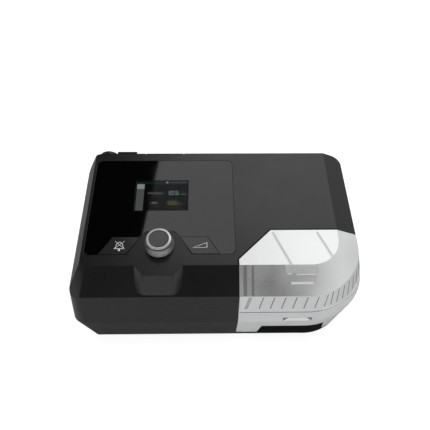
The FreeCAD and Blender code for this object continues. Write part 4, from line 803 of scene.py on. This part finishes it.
def is_platform_lip(face):
    """Front of the dark lip under the chamber."""
    return lies_in(face, LIP_AREA) and face.normal.y < LIP_FORWARD


def at_joint(face):
    """Level face where lid and base meet."""
    off = abs(face.calc_center_median().z - JOINT_HEIGHT)
    return abs(face.normal.z) > LEVEL and off < JOINT_REACH


def finish_chamber():
    """Frosted, milky and polished areas of the chamber's walls, with painted shade on the top, the facet and
    the ribs, and a painted shadow at the lid's joint.
    """
    for name, node, wanted, gap, finish, body in (
            ("lid_back_frost", "chamber_lid", backs_onto_bay, SKIN_GAP, FROSTED, "lid"),
            ("lid_top_frost", "chamber_lid", is_lid_top, SKIN_GAP, SHADED_MILK_TOP, "lid"),
            ("lid_facet_frost", "chamber_lid", is_sloping_facet, SKIN_GAP, SHADED_FACET_SKIN, "lid"),
            ("lid_front_frost", "chamber_lid", faces_out_front, SKIN_GAP, BAND_FROST, "lid"),
            ("lid_rib_shade", "chamber_lid", is_rib, SKIN_GAP, RIB_SHADE, "lid"),
            # Painted shadow on the lid's face at the joint.
            ("lid_joint", "chamber_lid", at_joint, SKIN_GAP, JOINT_SHADOW, "lid"),
            ("base_joint", "chamber_base", at_joint, SKIN_GAP, RIM_WHITE, "chamber"),
            ("base_back_frost", "chamber_base", backs_onto_bay, SKIN_GAP, FROSTED, "chamber"),
            ("base_front_frost", "chamber_base", faces_out_front, SKIN_SUNK, BAND_FROST, "chamber")):
        skin_of(name, node, wanted, gap, finish, body)


def walls_of(node):
    """Search tree of a node's walls."""
    shape = bmesh.new()
    shape.from_mesh(nodes[node].data)
    tree = BVHTree.FromBMesh(shape)
    shape.free()
    return tree


LID_WALL = walls_of("chamber_lid")
LID_PROUD = 0.16 * MM
WELL_OUTSIDE = 0.2


def on_wall(bearing, height):
    """Point just off the lid's outer wall and the wall's normal: bearing in degrees, height in mm."""
    way = Vector((math.cos(math.radians(bearing)), math.sin(math.radians(bearing)), 0))
    start = CHAMBER_HEART + way * WELL_OUTSIDE
    start.z = height * MM
    spot, normal, _, _ = LID_WALL.ray_cast(start, -way)
    return spot + normal * LID_PROUD, normal


def wall_bead(name, rows, thick, finish):
    """Raised beads on the lid's wall: each row holds the bearings and heights of its two edges."""
    shape = bmesh.new()
    for row in rows:
        rings = []
        for low_edge, high_edge in row:
            ends = [on_wall(*low_edge), on_wall(*high_edge)]
            ring = [spot for spot, _ in ends]
            ring += [spot + normal * (thick * MM) for spot, normal in ends[::-1]]
            rings.append([shape.verts.new(corner) for corner in ring])
        for here, after in zip(rings, rings[1:]):
            for edge in range(4):
                shape.faces.new((here[edge], here[edge - 3], after[edge - 3], after[edge]))
        shape.faces.new(rings[0])
        shape.faces.new(rings[-1][::-1])
    bmesh.ops.recalc_face_normals(shape, faces=shape.faces)
    mount_piece(name, shape, finish, "lid")


def bearing_of(x, y):
    """Bearing of a plan point from the chamber's middle."""
    return math.degrees(math.atan2(y * MM - CHAMBER_HEART.y, x * MM - CHAMBER_HEART.x))


FRONT_Y = -78.8
RIB_LOW, RIB_HIGH, RIB_HALF, RIB_SLANT = 62.5, 78.6, 0.5, 1.9
RIB_STEPS = 4
RIB_STARTS = [29.7 + 9.6 * number for number in range(7)]
CORNER_RIBS = [-48, -40, -32, -24, -16, -8, 0, 8]
CORNER_RIB_HALF, CORNER_RISE = 0.6, 2.5
SHADE_FOOT, SHADE_TOP, SHADE_HALF = 18.3, 20.4, 1.5
# Painted highlights at the ribs' feet: half width, low and high edge in mm.
GLINT_HALF, GLINT_LOW, GLINT_HIGH = 0.7, 60.6, 61.8
JOINT_LOW, JOINT_HIGH = 57.0, 57.7
BEAD_LOW, BEAD_HIGH = 58.1, 59.1
WALL_START, WALL_END, BEAD_START = (13.4, FRONT_Y), (128.2, -27.0), (84.0, -78.0)


def rib_row(x_low, x_high, half=RIB_HALF):
    """Slanted rib on the straight front wall, from plan x at its foot to plan x at its top."""
    row = []
    for step in range(RIB_STEPS + 1):
        share = step / RIB_STEPS
        x = x_low + (x_high - x_low) * share
        height = RIB_LOW + (RIB_HIGH - RIB_LOW) * share
        row.append([(bearing_of(side, FRONT_Y), height) for side in (x - half, x + half)])
    return row


def corner_row(bearing):
    """Upright rib round the corner; it grows with the wall."""
    row = []
    for step in range(RIB_STEPS + 1):
        height = RIB_LOW + (RIB_HIGH + CORNER_RISE - RIB_LOW) * step / RIB_STEPS
        row.append(((bearing - CORNER_RIB_HALF, height), (bearing + CORNER_RIB_HALF, height)))
    return row


def bead_row(start, end, low, high, steps=40):
    """Level bead along the wall between two bearings."""
    bearings = [start + (end - start) * step / steps for step in range(steps + 1)]
    return [((bearing, low), (bearing, high)) for bearing in bearings]


def rib_glint(x):
    """Painted highlight at a rib's foot: a small white patch."""
    sides = [bearing_of(side, FRONT_Y) for side in (x - GLINT_HALF, x + GLINT_HALF)]
    return [((bearing, GLINT_LOW), (bearing, GLINT_HIGH)) for bearing in sides]


def mould_lid_lines():
    """Ribs in painted dark shade with painted highlights at their feet, a painted shade strip at the left
    end, the joint line's painted shadow and the bright bead over it.
    """
    left, right, bead_left = [bearing_of(*place) for place in (WALL_START, WALL_END, BEAD_START)]
    for name, rows, thick, finish in (
            ("lid_ribs", [rib_row(x, x + RIB_SLANT) for x in RIB_STARTS], 0.12, RIB_SHADE),
            ("lid_corner_ribs", [corner_row(bearing) for bearing in CORNER_RIBS], 0.12, RIB_SHADE),
            ("lid_end_shade", [rib_row(SHADE_FOOT, SHADE_TOP, SHADE_HALF)], 0.1, SHADE_FROST),
            ("lid_rib_glints", [rib_glint(x) for x in RIB_STARTS], 0.15, RIM_WHITE),
            ("lid_joint_shadow_line", [bead_row(left, right, JOINT_LOW, JOINT_HIGH)], 0.05, JOINT_SHADOW),
            ("lid_foot_bead", [bead_row(bead_left, right, BEAD_LOW, BEAD_HIGH)], 0.3, RIM_WHITE)):
        wall_bead(name, rows, thick, finish)


FACET_TOP, FACET_FOOT = Vector((0, -57.3, 96.3)), Vector((0, -77.7, 79.8))
FACET_NORMAL = Vector((0, -0.629, 0.778))
CLOSE_OUTSIDE = 0.01
BAR_ROUND = 0.28


def facet_spot(x, share):
    """Point just off the lid's facet at x in mm and a share of the way down from its top edge."""
    start = (Vector((x, 0, 0)) + FACET_TOP.lerp(FACET_FOOT, share)) * MM + FACET_NORMAL * CLOSE_OUTSIDE
    spot = LID_WALL.ray_cast(start, -FACET_NORMAL)[0]
    return spot + FACET_NORMAL * LID_PROUD


GRIP_BARS = ((60.0, 76.5, 0.29, 0.335), (52.5, 56.5, 0.27, 0.32), (55.5, 74.5, 0.55, 0.63))
GRIP_PANEL = ((51.0, 77.2, 0.01, 0.265),)
END_BARS = ((15.9, 18.9, 0.02, 0.98), (22.9, 24.7, 0.02, 0.98))


def facet_bars(name, bars, rise, finish):
    """Low bars on the lid's facet: each from x to x in mm, and from share to share of the way down."""
    shape = bmesh.new()
    for left, right, top, foot in bars:
        low = [facet_spot(*place) for place in ((left, top), (right, top), (right, foot), (left, foot))]
        add_prism(shape, low, [corner + FACET_NORMAL * (rise * MM) for corner in low])
    bmesh.ops.recalc_face_normals(shape, faces=shape.faces)
    bmesh.ops.bevel(shape, geom=shape.edges[:], offset=rise * BAR_ROUND * MM, segments=2, affect="EDGES")
    mount_piece(name, shape, finish, "lid")


GUIDE_LEFT, GUIDE_RIGHT, GUIDE_BACK, GUIDE_FRONT, GUIDE_LEAN = 42.8, 81.4, -25.8, -57.4, 13.2
RIGHT_SEAM_SHARE = 0.76
SEAM_WIDTH = 2.3
SEAM_GAP = 0.02
SEAM_THICK = 0.015


def weld_guide():
    """Flat seams where the leaning duct is welded to the lid's top; the right one ends sooner."""
    lid_top = max((vertex.co - deck_edge).dot(DECK_NORMAL) for vertex in nodes["chamber_lid"].data.vertices)
    rise = (lid_top + SKIN_GAP + SKIN_THICK) / MM + SEAM_GAP
    lines = []
    for x, share in ((GUIDE_LEFT, 1), (GUIDE_RIGHT, RIGHT_SEAM_SHARE)):
        front_end = (x + GUIDE_LEAN * share, GUIDE_BACK * (1 - share) + GUIDE_FRONT * share)
        lines += stroke([(x, GUIDE_BACK), front_end], SEAM_WIDTH)
    deck_plate("guide_seam", lines, rise, SEAM_THICK, SEAM, "lid")


BAY_LEFT, BAY_BACK, BAY_CUT, BAY_FRONT, BAY_RIGHT = 12.5, -23.2, 28.8, -57.3, 99.2
# Painted shadow strip along the gap round the chamber: its offset, width, rise and thickness.
BAY_SHADOW_OUT, BAY_SHADOW_WIDTH, BAY_SHADOW_RISE, BAY_SHADOW_THICK = 0.5, 0.9, 0.02, 0.02


def shadow_bay_gap():
    """Painted shadow of the gap round the chamber: a thin dark strip on the deck, from the deck's front to
    its right end.
    """
    lean = BAY_SHADOW_OUT * math.tan(math.pi / 8)
    left, back = BAY_LEFT - BAY_SHADOW_OUT, BAY_BACK + BAY_SHADOW_OUT
    places = [(left, BAY_FRONT), (left, BAY_BACK - BAY_CUT + lean), (BAY_LEFT + BAY_CUT - lean, back),
              (BAY_RIGHT, back)]
    deck_plate("bay_gap_shadow", stroke(places, BAY_SHADOW_WIDTH), BAY_SHADOW_RISE, BAY_SHADOW_THICK, DARK_LIP_AND_GAP_SHADOW, "housing")


SLOT_LEFT, SLOT_RIGHT, SLOT_TAPER = 52.3, 77.1, 4.4
SLOT_OVERLAP, SLOT_RISE, SLOT_TIP_RISE, SLOT_TIP = 0.3, 0.5, 0.35, 1.4
SLOT_DEPTHS = (0.01, 0.05)
BEFORE_WALL = -0.1


def shade_slot():
    """Painted shade at the ends of the slot that the latch sits in: two thin dark plates on the base's wall.
    """
    wall = walls_of("chamber_base")
    low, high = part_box("chamber_latch")
    foot, crown = low.z / MM, high.z / MM
    shape = bmesh.new()
    for end, way in ((SLOT_LEFT, 1), (SLOT_RIGHT, -1)):
        outer, inner = end - way * SLOT_OVERLAP, end + way * SLOT_TAPER
        corners = ((outer, foot), (outer, crown + SLOT_RISE), (inner + way * SLOT_TIP, crown + SLOT_RISE),
                   (inner, crown + SLOT_TIP_RISE))
        hits = [wall.ray_cast(Vector((x * MM, BEFORE_WALL, z * MM)), Vector((0, 1, 0))) for x, z in corners]
        add_prism(shape, *([hit[0] - hit[1] * (depth * MM) for hit in hits] for depth in SLOT_DEPTHS))
    bmesh.ops.recalc_face_normals(shape, faces=shape.faces)
    mount_piece("latch_slot_shades", shape, SLOT_SHADE, "chamber")


def press_springs():
    """Heater springs under the plate, copied into a piece of their own that rides on the housing, with the
    part itself hidden.
    """
    springs = bpy.data.objects.new("heater_coils", nodes["heater_springs"].data.copy())
    bpy.context.scene.collection.objects.link(springs)
    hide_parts("heater_springs")
    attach(springs, "housing")
    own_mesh(springs)


finish_chamber()
shadow_bay_gap()
shade_slot()
press_springs()
mould_lid_lines()
facet_bars("lid_end_ribs", END_BARS, 0.1, END_FROST)
facet_bars("lid_grip_panel", GRIP_PANEL, 0.1, PANEL_FROST)
facet_bars("lid_grip_bars", GRIP_BARS, 0.35, GRIP_FROST)
weld_guide()
skin_of("platform_lip", "lower_housing", is_platform_lip, SKIN_GAP, DARK_LIP_AND_GAP_SHADOW, "housing")


# ---- floor, light and camera
FLOOR_SIDE = 9.0
FLOOR_TONE = (0.36, 0.36, 0.36, 1)
FLOOR_GLOW = 0.8
FLOOR_SHINE = 0.06
ROOM_DIM = (0.06, 0.06, 0.062, 1)
ROOM_GLOSS = (0.012, 0.012, 0.0125, 1)
ROOM_TILT = 0.32
HORIZON_LOW, HORIZON_HIGH = 0.34, 0.5
WHITE = (1, 1, 1, 1)
CARD_HEIGHT = 1.5
CARD_CORNER = Vector((-0.289, 0.50, CARD_HEIGHT))
CARD_TURN = math.radians(-8.6)
CARD_WIDTH = 1.5
CARD_LENGTH = 1.4


def rays_of(tree):
    """Masks of the rays that see the background plainly, and of the glossy rays."""
    path = add(tree, "ShaderNodeLightPath")
    seen = math_step(tree, "MAXIMUM", path.outputs["Is Camera Ray"], path.outputs["Is Transmission Ray"])
    return seen, path.outputs["Is Glossy Ray"]


def lay_floor():
    """Pale floor that keeps the machine's shadow and shows white to camera and glass, and a faint glow to
    gloss.
    """
    half = FLOOR_SIDE / 2
    mesh = bpy.data.meshes.new("floor")
    corners = [(-half, -half, 0), (half, -half, 0), (half, half, 0), (-half, half, 0)]
    mesh.from_pydata(corners, [], [(0, 1, 2, 3)])
    floor = bpy.data.objects.new("floor", mesh)
    bpy.context.scene.collection.objects.link(floor)
    material, tree, shader = finish_shell("floor_paper", Roughness=0.9, Specular_IOR_Level=0.1)
    shader.inputs["Base Color"].default_value = FLOOR_TONE
    shader.inputs["Emission Color"].default_value = WHITE
    seen, glossy = rays_of(tree)
    glow = math_step(tree, "MULTIPLY", seen, FLOOR_GLOW)
    shine = math_step(tree, "MULTIPLY", glossy, FLOOR_SHINE)
    drive(tree, shader, Emission_Strength=math_step(tree, "MAXIMUM", glow, shine))
    mesh.materials.append(material)


def light_room():
    """Dim room that camera and glass see as white, and gloss sees white near the horizon."""
    world = bpy.data.worlds.new("room")
    bpy.context.scene.world = world
    world.use_nodes = True
    tree = world.node_tree
    back = tree.nodes["Background"]
    place = add(tree, "ShaderNodeTexCoord")
    split = add(tree, "ShaderNodeSeparateXYZ")
    drive(tree, split, Vector=place.outputs["Generated"])
    behind = math_step(tree, "MAXIMUM", split.outputs["Y"], 0.0)
    height = math_step(tree, "ADD", split.outputs["Z"], math_step(tree, "MULTIPLY", behind, ROOM_TILT))
    horizon = remap(tree, height, HORIZON_LOW, HORIZON_HIGH, 1.0, 0.0)
    seen, glossy = rays_of(tree)
    seen = math_step(tree, "MAXIMUM", seen, math_step(tree, "MULTIPLY", glossy, horizon))
    dim = blend_colour(tree, glossy, ROOM_DIM, ROOM_GLOSS)
    drive(tree, back, Color=blend_colour(tree, seen, dim, WHITE))


def hang_lamp(name, place, size, radiance, turn=0.0, aim=None, gloss=True):
    """Soft rectangular lamp of an even radiance, facing down or towards a point."""
    data = bpy.data.lights.new(name, "AREA")
    data.shape = "RECTANGLE"
    data.size, data.size_y = size
    data.energy = radiance * math.pi * size[0] * size[1]
    lamp = bpy.data.objects.new(name, data)
    bpy.context.scene.collection.objects.link(lamp)
    if aim is None:
        lamp.matrix_world = Matrix.Translation(place) @ Matrix.Rotation(turn, 4, "Z")
    else:
        look = (Vector(aim) - Vector(place)).to_track_quat("-Z", "Y")
        lamp.matrix_world = Matrix.Translation(place) @ look.to_matrix().to_4x4()
    lamp.visible_glossy = gloss
    lamp.visible_transmission = False


def light_object():
    """Two cards that the deck and the right side reflect, and soft fill that gloss doesn't show."""
    across = Matrix.Rotation(CARD_TURN, 3, "Z") @ Vector((1, 0, 0))
    deep = Matrix.Rotation(CARD_TURN, 3, "Z") @ Vector((0, 1, 0))
    middle = CARD_CORNER + across * (CARD_WIDTH / 2) + deep * (CARD_LENGTH / 2)
    hang_lamp("deck_card", middle, (CARD_WIDTH, CARD_LENGTH), 1.6, turn=CARD_TURN)
    hang_lamp("side_card", (1.69, 1.17, 1.09), (1.3, 1.0), 0.6, aim=(0.11, 0.02, 0.1))
    hang_lamp("top_fill", (0, -0.3, 2.2), (2.6, 2.6), 2.2, gloss=False)
    hang_lamp("front_fill", (0.2, -2.2, 1.0), (2.4, 1.2), 2.6, aim=(0, 0, 0.05), gloss=False)


CAMERA_PLACE = Vector((-0.0138, -0.30305, 0.4212))
CAMERA_LENS = 40.906
CAMERA_NEAR = 0.01
CAMERA_PITCH = math.radians(47.05)
CAMERA_YAW = math.radians(1.335)
CAMERA_ROLL = math.radians(-0.703)


def set_camera():
    """Camera that looks down on the front of the machine."""
    forward = Vector((math.sin(CAMERA_YAW) * math.cos(CAMERA_PITCH),
                      math.cos(CAMERA_YAW) * math.cos(CAMERA_PITCH), -math.sin(CAMERA_PITCH)))
    level_right = Vector((math.cos(CAMERA_YAW), -math.sin(CAMERA_YAW), 0))
    level_down = forward.cross(level_right)
    right = level_right * math.cos(CAMERA_ROLL) + level_down * math.sin(CAMERA_ROLL)
    down = level_down * math.cos(CAMERA_ROLL) - level_right * math.sin(CAMERA_ROLL)
    data = bpy.data.cameras.new("camera")
    data.lens = CAMERA_LENS
    data.clip_start = CAMERA_NEAR
    camera = bpy.data.objects.new("camera", data)
    turn = Matrix((right, -down, -forward)).transposed().to_4x4()
    camera.matrix_world = Matrix.Translation(CAMERA_PLACE) @ turn
    bpy.context.scene.collection.objects.link(camera)
    bpy.context.scene.camera = camera


lay_floor()
light_room()
light_object()
set_camera()
bpy.context.scene.view_settings.view_transform = "Standard"
